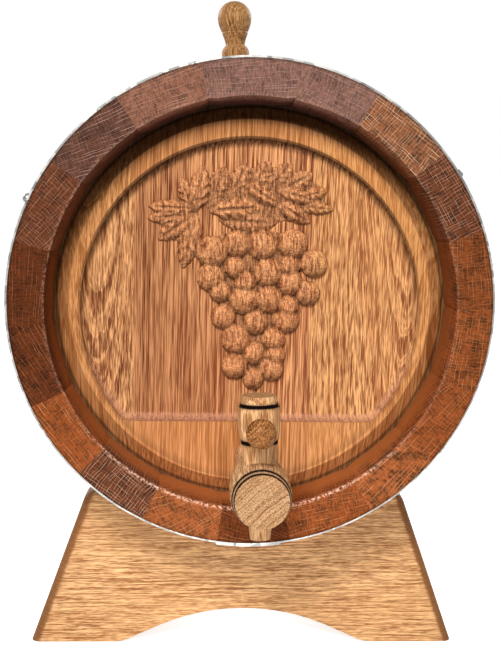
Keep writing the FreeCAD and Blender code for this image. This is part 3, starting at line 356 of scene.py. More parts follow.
    def darken(self, colour: Value, factor: Value) -> Socket:
        """Multiply a colour by a number."""
        return self.vector("MULTIPLY", colour, self.join(factor, factor, factor))

    def finish(
        self, colour: Value, rough: Value, height: Value, relief: float, sheen: "Sheen"
    ) -> bpy.types.Material:
        """Wire the surface and hand the material over.

        Args:
            colour: The base colour.
            rough: The roughness.
            height: The height of the fine surface, from 0 to 1.
            relief: What a height of 1 measures, in metres.
            sheen: How the surface shines.

        Returns:
            The finished material.
        """
        bump = self.node("ShaderNodeBump", {"Strength": 1.0, "Distance": relief, "Height": height})
        self.feed(self.shader.inputs["Base Color"], colour)
        self.feed(self.shader.inputs["Roughness"], rough)
        self.feed(self.shader.inputs["Normal"], bump.outputs[0])
        self.shader.inputs["Metallic"].default_value = sheen.metal
        self.shader.inputs["Specular IOR Level"].default_value = sheen.gloss
        self.shader.inputs["Coat Weight"].default_value = sheen.coat
        self.shader.inputs["Coat Roughness"].default_value = sheen.coat_rough
        return self.material


@dataclass(frozen=True)
class Sheen:
    """How a surface shines: 1 for bare metal, its gloss, and the lacquer on top and its roughness."""

    metal: float = 0.0
    gloss: float = 0.2
    coat: float = 0.0
    coat_rough: float = 0.35


@dataclass(frozen=True)
class Sawing:
    """How a piece was cut from its log.

    The pith is a point on the log's middle line, grain is the direction of that line, and middle is the
    middle of the piece. spread draws the figure out along an axis, so that it changes less there.
    """

    pith: Point
    grain: Point
    middle: Point
    spread: Point = (1.0, 1.0, 1.0)

    def reach(self) -> tuple[Vector, Vector]:
        """The direction of the grain, and the way from the pith to the piece, square to it.

        Returns:
            The two vectors. The first has length 1.
        """
        along = Vector(self.grain).normalized()
        out = Vector(self.middle) - Vector(self.pith)
        return along, out - along * out.dot(along)

    def turn(self) -> Euler:
        """The log's own axes as angles: x from pith to piece, z along the grain.

        Returns:
            The angles.
        """
        along, out = self.reach()
        out = out.normalized()
        return Matrix((out, along.cross(out), along)).transposed().to_euler("XYZ")

    def distance(self) -> float:
        """How far the piece lies from the pith."""
        return self.reach()[1].length



@dataclass(frozen=True)
class Figure:
    """The figure of one kind of oak: the width of its rings, and how strongly each mark shows.

    fibre, thread and swirl are how fine the marks are across the grain, per metre, and streak is how fine
    they are along it. slow_warp, quick_warp, pores and clouds are scales along the log's three axes.
    """

    ring: float = 0.0019
    ring_mark: float = 0.5
    waviness: float = 0.004
    slow_warp: Point = (34, 34, 7)
    quick_warp: Point = (210, 210, 26)
    fibre: float = 560.0
    streak: float = 8.0
    thread: float = 1650.0
    pores: Point = (1100, 1100, 55)
    clouds: Point = (38, 38, 9)
    swirl: float = 900.0
    swirl_mark: float = 0.5
    fibre_mark: float = 0.3
    hair_mark: float = 0.35
    thread_mark: float = 0.3
    ridge_mark: float = 0.3
    pore_mark: float = 0.5
    cloud_mark: float = 0.4


@dataclass(frozen=True)
class Oak:
    """An oak finish: its colours, how dark its end grain is, its roughness and the depth of its grain."""

    pale: Tone
    dark: Tone
    cloud: Tone
    end: float = 0.75
    rough: float = 0.5
    relief: float = 0.00012
    figure: Figure = field(default_factory=Figure)


@dataclass(frozen=True)
class Grain:
    """What a sawn piece shows at each point."""

    colour: Socket
    height: Socket
    rough: Socket
    place: Socket
    facing: Socket
    log: Socket
    end: Socket


def saw(bench: Bench, oak: Oak, sawing: Sawing) -> Grain:
    """Lay the grain of one sawn piece through its solid.

    Args:
        bench: The material that is being made.
        oak: The finish.
        sawing: How the piece was cut from its log.

    Returns:
        The grain's colour, height and roughness, and where it is read.
    """
    figure = oak.figure
    read = bench.node("ShaderNodeTexCoord", {})
    place, facing = read.outputs["Object"], read.outputs["Normal"]
    drawn = bench.vector("MULTIPLY", bench.vector("SUBTRACT", place, sawing.middle), sawing.spread)
    drawn = bench.vector("ADD", drawn, sawing.middle)
    inputs = {"Vector": drawn, "Location": sawing.pith, "Rotation": sawing.turn()}
    log_place = bench.node("ShaderNodeMapping", inputs, vector_type="TEXTURE").outputs[0]
    u, v, w = bench.split(log_place)
    # rings of uneven years, warped slowly along the log
    slow = bench.noise(log_place, figure.slow_warp, 2.0)
    quick = bench.noise(log_place, figure.quick_warp, 1.0)
    reach = bench.length(bench.join(u, v, 0.0))
    warp = figure.waviness * QUICK_WARP_SHARE
    radius = bench.blend((reach, 1.0), (slow, figure.waviness), (quick, warp))
    early = bench.fall(bench.seams(radius, figure.ring), *EARLY_WOOD)
    swirl = bench.noise(bench.join(radius, 0.0, w), (figure.swirl, 0, figure.streak * 3), 2.0, 0.62)
    # fibres, hairs and pores, drawn out along the grain
    coarse, fine = figure.fibre, figure.fibre * HAIR_FINENESS
    fibre = bench.noise(log_place, (coarse, coarse, figure.streak), 2.0, 0.6)
    hair = bench.noise(log_place, (fine, fine, figure.streak * 4), 2.0, 0.6)
    thread = bench.noise(log_place, (figure.thread, figure.thread, figure.streak * 16), 1.0, 0.5)
    gap, _ = bench.cells(log_place, figure.pores)
    pore = bench.times(bench.fall(gap, *PORE_EDGE), bench.line(early, 0.0, 1.0, 0.3, 1.0))
    streaks = bench.rise(fibre, *FIBRE_EDGE)
    hairs = bench.rise(hair, *HAIR_EDGE)
    threads = bench.rise(thread, *THREAD_EDGE)
    swirls = bench.rise(swirl, *SWIRL_EDGE)
    ridge = bench.fall(bench.sum("ABSOLUTE", bench.minus(swirl, 0.5)), 0.0, RIDGE_WIDTH)
    ridge = bench.times(ridge, bench.rise(hair, 0.4, 0.56, 1.0, 0.35))
    tone = bench.blend(
        (streaks, figure.fibre_mark), (hairs, figure.hair_mark), (threads, figure.thread_mark),
        (swirls, figure.swirl_mark), (early, figure.ring_mark), (ridge, -figure.ridge_mark),
    )
    # the mean of all marks is brought to the middle between the pale and the dark tone
    centre = (figure.fibre_mark + figure.hair_mark + figure.thread_mark + figure.swirl_mark) * 0.5
    centre -= figure.ridge_mark * 0.25
    tone = bench.sum("ADD", tone, 0.5 - centre - figure.ring_mark * 0.35, clamp=True)
    colour = bench.tint(tone, oak.pale.linear(), oak.dark.linear())
    cloud = bench.noise(log_place, figure.clouds, 3.0, 0.55)
    colour = bench.tint(bench.rise(cloud, *CLOUD_EDGE, 0.0, figure.cloud_mark), colour, oak.cloud.linear())
    colour = bench.tint(bench.times(pore, figure.pore_mark), colour, oak.dark.shade(PORE_SHADE).linear())
    # end grain takes more oil and turns darker
    across = bench.sum("ABSOLUTE", bench.dot(facing, tuple(Vector(sawing.grain).normalized())))
    end = bench.rise(across, *CUT_ACROSS)
    colour = bench.darken(colour, bench.line(end, 0.0, 1.0, 1.0, oak.end))
    height = bench.blend(
        (swirl, -0.5), (ridge, 0.35), (hair, -0.4), (thread, -0.3), (pore, -0.4), (early, -0.2)
    )
    rough = bench.blend((fibre, 0.2), (1.0, oak.rough - 0.1))
    return Grain(colour, height, rough, place, facing, log_place, end)


def dress(node: bpy.types.Object, material: bpy.types.Material) -> None:
    """Give a whole piece one finish.

    Args:
        node: The piece.
        material: Its finish.
    """
    node.data.materials.clear()
    node.data.materials.append(material)


class StaveTone(Enum):
    """The oils and woods of the staves' ends: the middle tone, and the tone of their rays."""

    # purple-grey, with a painted reflection of the bright sky on the top staves' oiled ends
    PLUM = (Tone(104, 73, 62), Tone(188, 160, 150))
    ROSE = (Tone(112, 74, 58), Tone(192, 152, 130))
    TAN = (Tone(108, 64, 38), Tone(222, 184, 152))
    DUSK = (Tone(70, 43, 33), Tone(166, 134, 118))
    UMBER = (Tone(74, 38, 20), Tone(176, 136, 112))
    AMBER = (Tone(124, 66, 32), Tone(198, 146, 102))
    RUSSET = (Tone(104, 52, 22), Tone(188, 134, 92))
    CHESTNUT = (Tone(68, 32, 13), Tone(146, 96, 66))


@dataclass(frozen=True)
class StaveCut:
    """How one stave was sawn, as its end shows it.

    turn is how far its rays lean from the rim, in degrees, and pith how far off its log's middle was.
    rays and lines are how strongly its rays and its rings show, blotch is how much darker patches cover
    it, and light is how much brighter the whole stave is.
    """

    tone: StaveTone
    turn: float
    pith: float
    rays: float
    lines: float
    blotch: float = 0.4
    light: float = 1.0


@dataclass
class Cask:
    """The staves, hoops, rivets and nails of the cask."""

    nodes: dict[str, bpy.types.Object]
    places: Places
    chime_middle: float = 0.1155
    outer_edge: float = 0.1235
    inner_edge: float = 0.1062
    wall_radius: float = 0.1078
    wall_depth: float = 0.03
    wall_slant: float = 0.35
    # the slanted wall's stain, paler at the bottom with painted light and darker at the top with painted
    # shadow
    lit_stain: Tone = Tone(182, 106, 54)
    shaded_stain: Tone = Tone(56, 17, 6)
    stain_and_shade_cover: float = 0.84
    shade_reach: float = 0.1
    # a pale tone for wear and a painted highlight along the inner edge
    worn: Tone = Tone(236, 186, 158)
    wear_and_highlight_depth: float = 0.0036
    outside_warmth: Point = (1.12, 1.04, 0.92)
    ray_gap: float = 0.0018
    ring_gap: float = 0.0017
    ring_blur: float = 0.0034
    ray_blur: float = 0.0016
    hair_gap_share: float = 0.42
    ray_edge: tuple[float, float] = (0.02, 0.09)
    hair_edge: tuple[float, float] = (0.02, 0.2)
    ring_edge: tuple[float, float] = (0.02, 0.14)
    pore_band: tuple[float, float] = (0.05, 0.34)
    pore_edge: tuple[float, float] = (0.2, 0.45)
    end_pores: Point = (1500, 1500, 0)
    ray_stretch: tuple[float, float] = (900.0, 70.0)
    ring_stretch: tuple[float, float] = (900.0, 150.0)
    ray_breaks: Mark = Mark((1, 1, 1), 2.0, 0.5, 0.42, 0.64, start=0.06)
    ring_breaks: Mark = Mark((1, 1, 1), 2.0, 0.5, 0.38, 0.6, start=0.1)
    patches: Mark = Mark((150, 150, 0), 3.0, 0.6, 0.4, 0.66)
    speckles: Mark = Mark((1300, 1300, 0), 2.0, 0.6, 0.34, 0.66)
    grit: Mark = Mark((2300, 2300, 0), 1.0, 0.5, 0.4, 0.62)
    flow: Mark = Mark((260, 900, 0), 3.0, 0.65, 0.38, 0.62)
    highlight_sparkles: Mark = Mark((700, 700, 700), 2.0, 0.6, 0.42, 0.6)
    hoops: tuple[str, ...] = ("front_chime_hoop", "front_bilge_hoop", "back_bilge_hoop", "back_chime_hoop")
    cuts: tuple[StaveCut, ...] = (
        StaveCut(StaveTone.PLUM, 4, 0.16, 0.45, 0.22, 0.3, 1.06),
        StaveCut(StaveTone.PLUM, -3, 0.15, 0.45, 0.22, 0.3, 1.06),
        StaveCut(StaveTone.TAN, 3, 0.20, 0.85, 0.5, 0.45, 1.06),
        StaveCut(StaveTone.UMBER, 2, 0.17, 0.65, 0.6, 0.5, 1.14),
        StaveCut(StaveTone.RUSSET, -4, 0.15, 0.6, 0.3, 0.45, 1.03),
        StaveCut(StaveTone.RUSSET, 5, 0.14, 0.7, 0.3, 0.5, 1.12),
        StaveCut(StaveTone.RUSSET, -10, 0.07, 0.7, 0.2, 0.35, 1.14),
        StaveCut(StaveTone.AMBER, 6, 0.09, 0.85, 0.12, 0.7, 1.06),
        StaveCut(StaveTone.RUSSET, -8, 0.12, 0.7, 0.18, 0.4, 1.12),
        StaveCut(StaveTone.CHESTNUT, -22, 0.06, 0.7, 0.15, 0.4, 1.24),
        StaveCut(StaveTone.AMBER, 42, 0.08, 0.8, 0.15, 0.4, 1.0),
        StaveCut(StaveTone.UMBER, -2, 0.18, 0.75, 0.8, 0.5, 1.1),
        StaveCut(StaveTone.RUSSET, 2, 0.2, 0.8, 0.12, 0.3, 1.14),
        StaveCut(StaveTone.CHESTNUT, 17, 0.13, 0.8, 0.12, 0.5, 1.16),
        StaveCut(StaveTone.CHESTNUT, 2, 0.15, 0.6, 0.15, 0.3, 1.12),
        StaveCut(StaveTone.UMBER, -15, 0.12, 0.65, 0.3, 0.35, 1.12),
        StaveCut(StaveTone.DUSK, -22, 0.14, 0.8, 0.15, 0.4, 1.14),
        StaveCut(StaveTone.ROSE, -4, 0.17, 0.7, 0.1, 0.3, 1.02),
    )

    def stave(self, name: str, cut: StaveCut) -> bpy.types.Material:
        """The finish of one stave.

        Args:
            name: The stave's name.
            cut: How it was sawn.

        Returns:
            Its material.
        """
        body = cut.tone.value[0].shade(cut.light)
        box_middle = middle(name)
        clock = math.atan2(box_middle.x, box_middle.z - self.places.axis)
        outward = Vector((math.sin(clock), 0, math.cos(clock)))
        centre = outward * self.chime_middle + Vector((0, self.places.front_chime, self.places.axis))
        heading = clock + math.pi / 2 - math.radians(cut.turn)
        pith = centre - Vector((math.sin(heading), 0, math.cos(heading))) * cut.pith
        red, green, blue = self.outside_warmth
        warm = Tone(body.red * red, body.green * green, body.blue * blue)
        oak = Oak(
            pale=warm.shade(1.25),
            dark=warm.shade(0.66),
            cloud=warm.shade(0.7),
            end=1.0,
            rough=0.42,
            relief=0.00006,
            figure=Figure(ring=0.0026, ring_mark=0.35, waviness=0.003, fibre=420, streak=12, cloud_mark=0.5),
        )
        bench = Bench(name + "_oak")
        sawing = Sawing(tuple(pith), (0, 1, 0), tuple(centre))
        grain = saw(bench, oak, sawing)
        face, relief = self.end_grain(bench, grain, sawing, cut)
        cut_across = bench.sum("MAXIMUM", grain.end, self.chime_wall(bench, grain))
        colour = bench.tint(cut_across, grain.colour, face)
        height = bench.blend((grain.height, 0.6), (relief, 1.0))
        rough = bench.blend((grain.rough, 1.0), (cut_across, 0.35))
        return bench.finish(colour, rough, height, oak.relief, Sheen(gloss=0.05))

    def rim(self, bench: Bench, grain: Grain) -> Socket:
        """How far a point of a stave is from the cask's axis."""
        x, _, z = bench.split(grain.place)
        return bench.length(bench.join(x, 0.0, bench.minus(z, self.places.axis)))

    def past_chime(self, bench: Bench, grain: Grain) -> Socket:
        """How far a point of a stave is from the end that it is nearer to.

        Args:
            bench: The stave's material.
            grain: Its grain.

        Returns:
            The distance along the cask.
        """
        y = bench.split(grain.place)[1]
        front, length = self.places.front_chime, self.places.back_chime - self.places.front_chime
        past = bench.minus(y, front)
        return bench.sum("MINIMUM", past, bench.minus(length, past))

    def chime_wall(self, bench: Bench, grain: Grain) -> Socket:
        """Where a stave is cut back at a slant, between its end and the head.

        Args:
            bench: The stave's material.
            grain: Its grain.

        Returns:
            1 there, and 0 elsewhere.
        """
        inside = bench.fall(self.rim(bench, grain), self.wall_radius, self.wall_radius + 0.0006)
        near = bench.fall(self.past_chime(bench, grain), self.wall_depth, self.wall_depth + 0.001)
        return bench.times(inside, near)

    def end_grain(self, bench: Bench, grain: Grain, sawing: Sawing, cut: StaveCut) -> tuple[Socket, Socket]:
        """The end of a stave: rays along the rim, rings across them, pores and dark patches between.

        Args:
            bench: The stave's material.
            grain: Its grain.
            sawing: How it was cut from its log.
            cut: How strongly its marks show.

        Returns:
            The colour and the height of its end.
        """
        axis = self.places.axis
        body, ray_tone = (tone.shade(cut.light) for tone in cut.tone.value)
        centre = Vector(sawing.middle)
        past = bench.sum("MINIMUM", self.past_chime(bench, grain), self.wall_depth)
        outward = Vector((centre.x, 0, centre.z - axis)).normalized()
        slant = sawing.turn().to_matrix().transposed() @ outward * -self.wall_slant
        moved = bench.vector("MULTIPLY", bench.join(past, past, past), tuple(slant))
        u, v, _ = bench.split(bench.vector("ADD", grain.log, moved))
        flat = bench.join(u, v, 0.0)
        reach = bench.length(flat)
        ripple = bench.noise(flat, (130, 130, 0), 2.0)
        side = bench.blend((bench.sum("ARCTAN2", v, u), sawing.distance()), (ripple, self.ray_blur))
        out = bench.blend((reach, 1.0), (bench.noise(flat, (90, 90, 0), 2.0), self.ring_blur))
        # long pale rays, broken here and there
        narrow, long = self.ray_stretch
        along = bench.join(bench.times(side, narrow), bench.times(out, long), 0.0)
        whole = bench.mark(along, self.ray_breaks)
        wide = bench.fall(bench.seams(side, self.ray_gap), *self.ray_edge)
        fine = bench.seams(bench.sum("ADD", side, 0.31), self.ray_gap * self.hair_gap_share)
        fine = bench.fall(fine, *self.hair_edge)
        ray = bench.times(wide, whole)
        hair = bench.times(fine, bench.line(whole, 0.0, 1.0, 0.22, 0.05))
        # rings that cross them: a pale line beside a dark band of pores
        ring = bench.fall(bench.seams(out, self.ring_gap), *self.ring_edge)
        narrow, long = self.ring_stretch
        across = bench.join(bench.times(out, narrow), bench.times(side, long), 0.0)
        ring = bench.times(ring, bench.mark(across, self.ring_breaks))
        band = bench.fall(bench.seams(bench.sum("ADD", out, 0.0004), self.ring_gap), *self.pore_band)
        gap, _ = bench.cells(flat, self.end_pores)
        pore = bench.times(bench.fall(gap, *self.pore_edge), bench.line(band, 0.0, 1.0, 0.3, 0.75))
        # patches and speckles
        patch, speckle, grit = (bench.mark(flat, mark) for mark in (self.patches, self.speckles, self.grit))
        flow = bench.mark(bench.join(side, out, 0.0), self.flow)
        tone = bench.blend((patch, cut.blotch), (speckle, 0.35), (grit, 0.3), (flow, 0.45), (1.0, -0.28))
        tone = bench.sum("ADD", tone, 0.0, clamp=True)
        colour = bench.tint(tone, body.shade(1.3).linear(), body.shade(0.5).linear())
        for mark, strength, mark_tone in (
            (pore, 0.2, body.shade(0.35)),
            (ring, cut.lines, ray_tone.shade(0.96)),
            (hair, cut.rays, ray_tone.shade(0.9)),
            (ray, cut.rays, ray_tone),
        ):
            colour = bench.tint(bench.times(mark, strength), colour, mark_tone.linear())
        # the rough outer edge is darker; the inner edge is paler with wear and a painted highlight in
        # sparkles, most of all at the bottom where the light falls
        rim = self.rim(bench, grain)
        rim = bench.blend((rim, 1.0), (bench.noise(flat, (420, 420, 0), 2.0), 0.0018), (1.0, -0.0009))
        outer, inner = self.outer_edge, self.inner_edge
        colour = bench.darken(colour, bench.rise(rim, outer - 0.0004, outer + 0.0012, 1.0, 0.6))
        worn = bench.fall(self.past_chime(bench, grain), 0.0, self.wear_and_highlight_depth)
        worn = bench.times(worn, bench.fall(rim, inner + 0.0002, inner + 0.0024))
        worn = bench.times(worn, bench.mark(grain.place, self.highlight_sparkles))
        level = bench.split(grain.place)[2]
        low = bench.line(level, axis - 0.095, axis - 0.06, 0.85, 0.15)
        colour = bench.tint(bench.times(worn, low), colour, self.worn.linear())
        # oil has stained the slanted wall; painted shadow makes it darker towards the top and further in, and
        # a painted lit tone makes it paler at the bottom
        deep = bench.times(self.chime_wall(bench, grain), bench.rise(past, 0.001, 0.02))
        high = bench.line(level, axis - self.shade_reach, axis + self.shade_reach)
        stain = bench.tint(high, self.lit_stain.linear(), self.shaded_stain.linear())
        colour = bench.tint(bench.times(deep, self.stain_and_shade_cover), colour, stain)
        height = bench.blend((speckle, 0.7), (pore, -1.0), (ray, 0.5), (ring, 0.3))
        return colour, height

    def galvanised(self) -> bpy.types.Material:
        """The spangled zinc of the hoops.

        Returns:
            The material.
        """
        bench = Bench("galvanised_steel")
        place = bench.node("ShaderNodeTexCoord", {}).outputs["Object"]
        _, spangle = bench.cells(place, (260, 260, 260))
        facet = bench.split(spangle)[0]
        haze = bench.noise(place, (60, 60, 60), 4.0, 0.6)
        scratch = bench.noise(place, (900, 120, 900), 2.0, 0.6)
        grey, bright, dull = Tone(128, 126, 122), Tone(182, 180, 175), Tone(110, 108, 105)
        colour = bench.tint(bench.line(facet, 0, 1), grey.linear(), bright.linear())
        colour = bench.tint(bench.rise(haze, 0.46, 0.7, 0.0, 0.6), colour, dull.linear())
        rough = bench.blend((facet, 0.16), (haze, 0.3), (1.0, 0.14))
        return bench.finish(colour, rough, scratch, 0.00003, Sheen(metal=1.0, gloss=0.5))

    def worn_steel(self) -> bpy.types.Material:
        """The rivets and nails: steel with dull edges and darker hollows.

        Returns:
            The material.
        """
        bench = Bench("worn_steel")
        place = bench.node("ShaderNodeTexCoord", {}).outputs["Object"]
        pits = bench.noise(place, (900, 900, 900), 3.0, 0.65)
        stain = bench.noise(place, (240, 240, 240), 2.0)
        bright, dull, rust = Tone(150, 150, 150), Tone(88, 84, 80), Tone(74, 62, 52)
        colour = bench.tint(bench.rise(pits, 0.4, 0.7), bright.linear(), dull.linear())
        colour = bench.tint(bench.rise(stain, 0.5, 0.7, 0.0, 0.7), colour, rust.linear())
        rough = bench.line(pits, 0.3, 0.7, 0.28, 0.5)
        return bench.finish(colour, rough, pits, 0.00005, Sheen(metal=1.0, gloss=0.5))

    def build(self) -> None:
        """Dress every stave, hoop, rivet and nail."""
        for number, cut in enumerate(self.cuts, 1):
            name = f"stave_{number:02d}"
            dress(self.nodes[name], self.stave(name, cut))
        zinc, steel = self.galvanised(), self.worn_steel()
        for name in self.hoops:
            dress(self.nodes[name], zinc)
        for name in ("hoop_rivets", "hoop_nails"):
            dress(self.nodes[name], steel)
        log.info("dressed %d staves and their hoops", len(self.cuts))


@dataclass(frozen=True)
class BoardCut:
    """How one head board was sawn: its pith, the lean of its grain, its tones and its ring's width.

    dusk is how much darker the board is towards its left edge.
    """

    pith: Point
    grain: Point
    pale: Tone
    dark: Tone
    cloud: Tone
    ring: float = 0.0021
    dusk: float = 1.0


@dataclass
class Head:
    """The boards of both heads."""

    nodes: dict[str, bpy.types.Object]
    places: Places
    panel_radius: float = 0.0916
    panel_drop: float = 0.004
    bevel_start: float = 0.0962
    rim: float = 0.1038
    cuts: dict[str, BoardCut] = field(
        default_factory=lambda: {
            "left_board": BoardCut(
                pith=(-0.083, -0.078, 0.2),
                grain=(0.0, -0.075, 1.0),
                pale=Tone(234, 172, 114),
                dark=Tone(112, 58, 30),
                cloud=Tone(182, 112, 66),
            ),
            "middle_board": BoardCut(
                pith=(0.10, -0.03, 0.2),
                grain=(0.012, 0.0, 1.0),
                pale=Tone(238, 168, 112),
                dark=Tone(114, 56, 28),
                cloud=Tone(172, 98, 56),
                dusk=0.78,
            ),
            "right_board": BoardCut(
                pith=(0.085, -0.066, 0.2),
                grain=(0.02, -0.06, 1.0),
                pale=Tone(244, 180, 118),
                dark=Tone(130, 70, 36),
                cloud=Tone(196, 126, 74),
            ),
        }
    )
    planed: Tone = Tone(186, 120, 58)
    planed_cover: float = 0.42
    edge: Tone = Tone(148, 92, 44)
    edge_cover: float = 0.5
    # a painted highlight on the cove where it faces up
    lit_sill: Tone = Tone(198, 142, 112)
    dusk_reach: float = 0.06
    fray_depth: float = 0.0046
    # the width and strength of a painted shadow under the panel's upper edge
    edge_shadow_width: float = 0.0052
    edge_shadow_dark: float = 0.3
    # painted shade in the corner at the chime, and painted shadow over the rim at the top
    corner_shade: float = 0.3
    top_shadow_dark: float = 0.26
    spread: Point = (1.0, 0.25, 1.0)
    glints: Mark = Mark((1300, 1300, 900), 2.0, 0.5, 0.36, 0.62, 0.15, 0.75)

    def board(self, name: str, cut: BoardCut, face: float) -> bpy.types.Material:
        """The finish of one head board, rough in its sunk panel and planed round it.

        Args:
            name: The board's name.
            cut: How it was sawn.
            face: Where the head's face lies along the cask.

        Returns:
            Its material.
        """
        front, axis, panel = self.places.front_head, self.places.axis, self.panel_radius
        pith = (cut.pith[0], cut.pith[1] + face - front, cut.pith[2])
        figure = Figure(
            ring=cut.ring, ring_mark=0.16, fibre=640, streak=4, fibre_mark=0.3, hair_mark=0.34,
            thread_mark=0.5, ridge_mark=0.6, swirl=760, swirl_mark=0.34, pore_mark=0.55, cloud_mark=0.25,
        )
        oak = Oak(cut.pale, cut.dark, cut.cloud, end=0.72, rough=0.5, relief=0.00032, figure=figure)
        bench = Bench(name + "_oak")
        centre = Vector(middle(name))
        centre.y = face
        grain = saw(bench, oak, Sawing(pith, cut.grain, tuple(centre), self.spread))
        x, y, z = bench.split(grain.place)
        round_panel = bench.length(bench.join(x, 0.0, bench.minus(z, axis - self.panel_drop)))
        round_head = bench.length(bench.join(x, 0.0, bench.minus(z, axis)))
        inside = bench.fall(round_panel, panel - 0.0003, panel + 0.0003)
        sunk = bench.times(bench.rise(y, front + 0.0001, front + 0.0012), inside)
        bevel = bench.rise(round_head, self.bevel_start - 0.0004, self.bevel_start + 0.0006)
        joint = self.places.joint_left
        dusk = bench.line(x, joint, joint + self.dusk_reach, cut.dusk, 1.0)
        planed = bench.tint(self.planed_cover, grain.colour, self.planed.linear())
        edge = bench.tint(self.edge_cover, grain.colour, self.edge.linear())
        colour = bench.tint(bevel, planed, edge)
        colour = bench.tint(sunk, colour, bench.darken(grain.colour, dusk))
        # painted shadow darkens a frayed band under the panel's upper edge, most at the top; a painted
        # highlight lightens the cove where it faces up
        above = bench.minus(z, axis)
        high = bench.line(above, -0.03, 0.05)
        fray = bench.noise(grain.place, (900, 900, 160), 2.0)
        reach = bench.blend(
            (round_panel, 1.0), (fray, self.fray_depth), (high, 0.0012), (1.0, -panel - self.fray_depth / 2)
        )
        under = bench.times(bench.rise(reach, -self.edge_shadow_width, 0.0), inside)
        under = bench.times(under, bench.line(high, 0.0, 1.0, 0.35, 1.0))
        colour = bench.darken(colour, bench.line(under, 0.0, 1.0, 1.0, self.edge_shadow_dark))
        glint = bench.mark(grain.place, self.glints)
        facing_up = bench.rise(bench.split(grain.facing)[2], 0.05, 0.45)
        over = bench.times(bench.times(facing_up, inside), glint)
        colour = bench.tint(over, colour, self.lit_sill.linear())
        # painted shade darkens the corner at the chime all round, and a painted shadow darkens the rim and
        # bevel at the top
        corner_shading = bench.rise(round_head, self.rim - 0.0024, self.rim - 0.0002, 1.0, self.corner_shade)
        colour = bench.darken(colour, corner_shading)
        top_shadow = bench.rise(round_head, panel + 0.001, self.bevel_start + 0.002)
        top_shadow = bench.times(top_shadow, bench.line(above, 0.03, 0.085))
        colour = bench.darken(colour, bench.line(top_shadow, 0.0, 1.0, 1.0, self.top_shadow_dark))
        rough = bench.blend((grain.rough, 1.0), (sunk, 0.14), (1.0, -0.1))
        height = bench.times(grain.height, bench.line(sunk, 0.0, 1.0, 0.4, 1.0))
        return bench.finish(colour, rough, height, oak.relief, Sheen(gloss=0.1))

    def build(self) -> None:
        """Dress the boards and dowels of both heads."""
        for side, face in (("front_head", self.places.front_head), ("back_head", self.places.back_head)):
            for part, cut in self.cuts.items():
                name = f"{side}_{part}"
                dress(self.nodes[name], self.board(name, cut, face))
        dress(self.nodes["head_dowels"], self.nodes["front_head_middle_board"].data.materials[0])
        log.info("dressed %d head boards", 2 * len(self.cuts))


@dataclass(frozen=True)
class Grape:
    """One grape: its middle across and up from the cask's axis, and its radius, in millimetres."""

    across: float
    up: float
    radius: float


@dataclass(frozen=True)
class Lobe:
    """One pointed lobe of a leaf: its two tips, its width and its height, in millimetres."""

    start: tuple[float, float]
    end: tuple[float, float]
    width: float
    height: float
    ribs: float = 5.0


@dataclass(frozen=True)
class Mound:
    """A low swelling under the bunch: its middle, its half widths and its height, in millimetres."""

    across: float
    up: float
    half_width: float
    half_height: float
    height: float


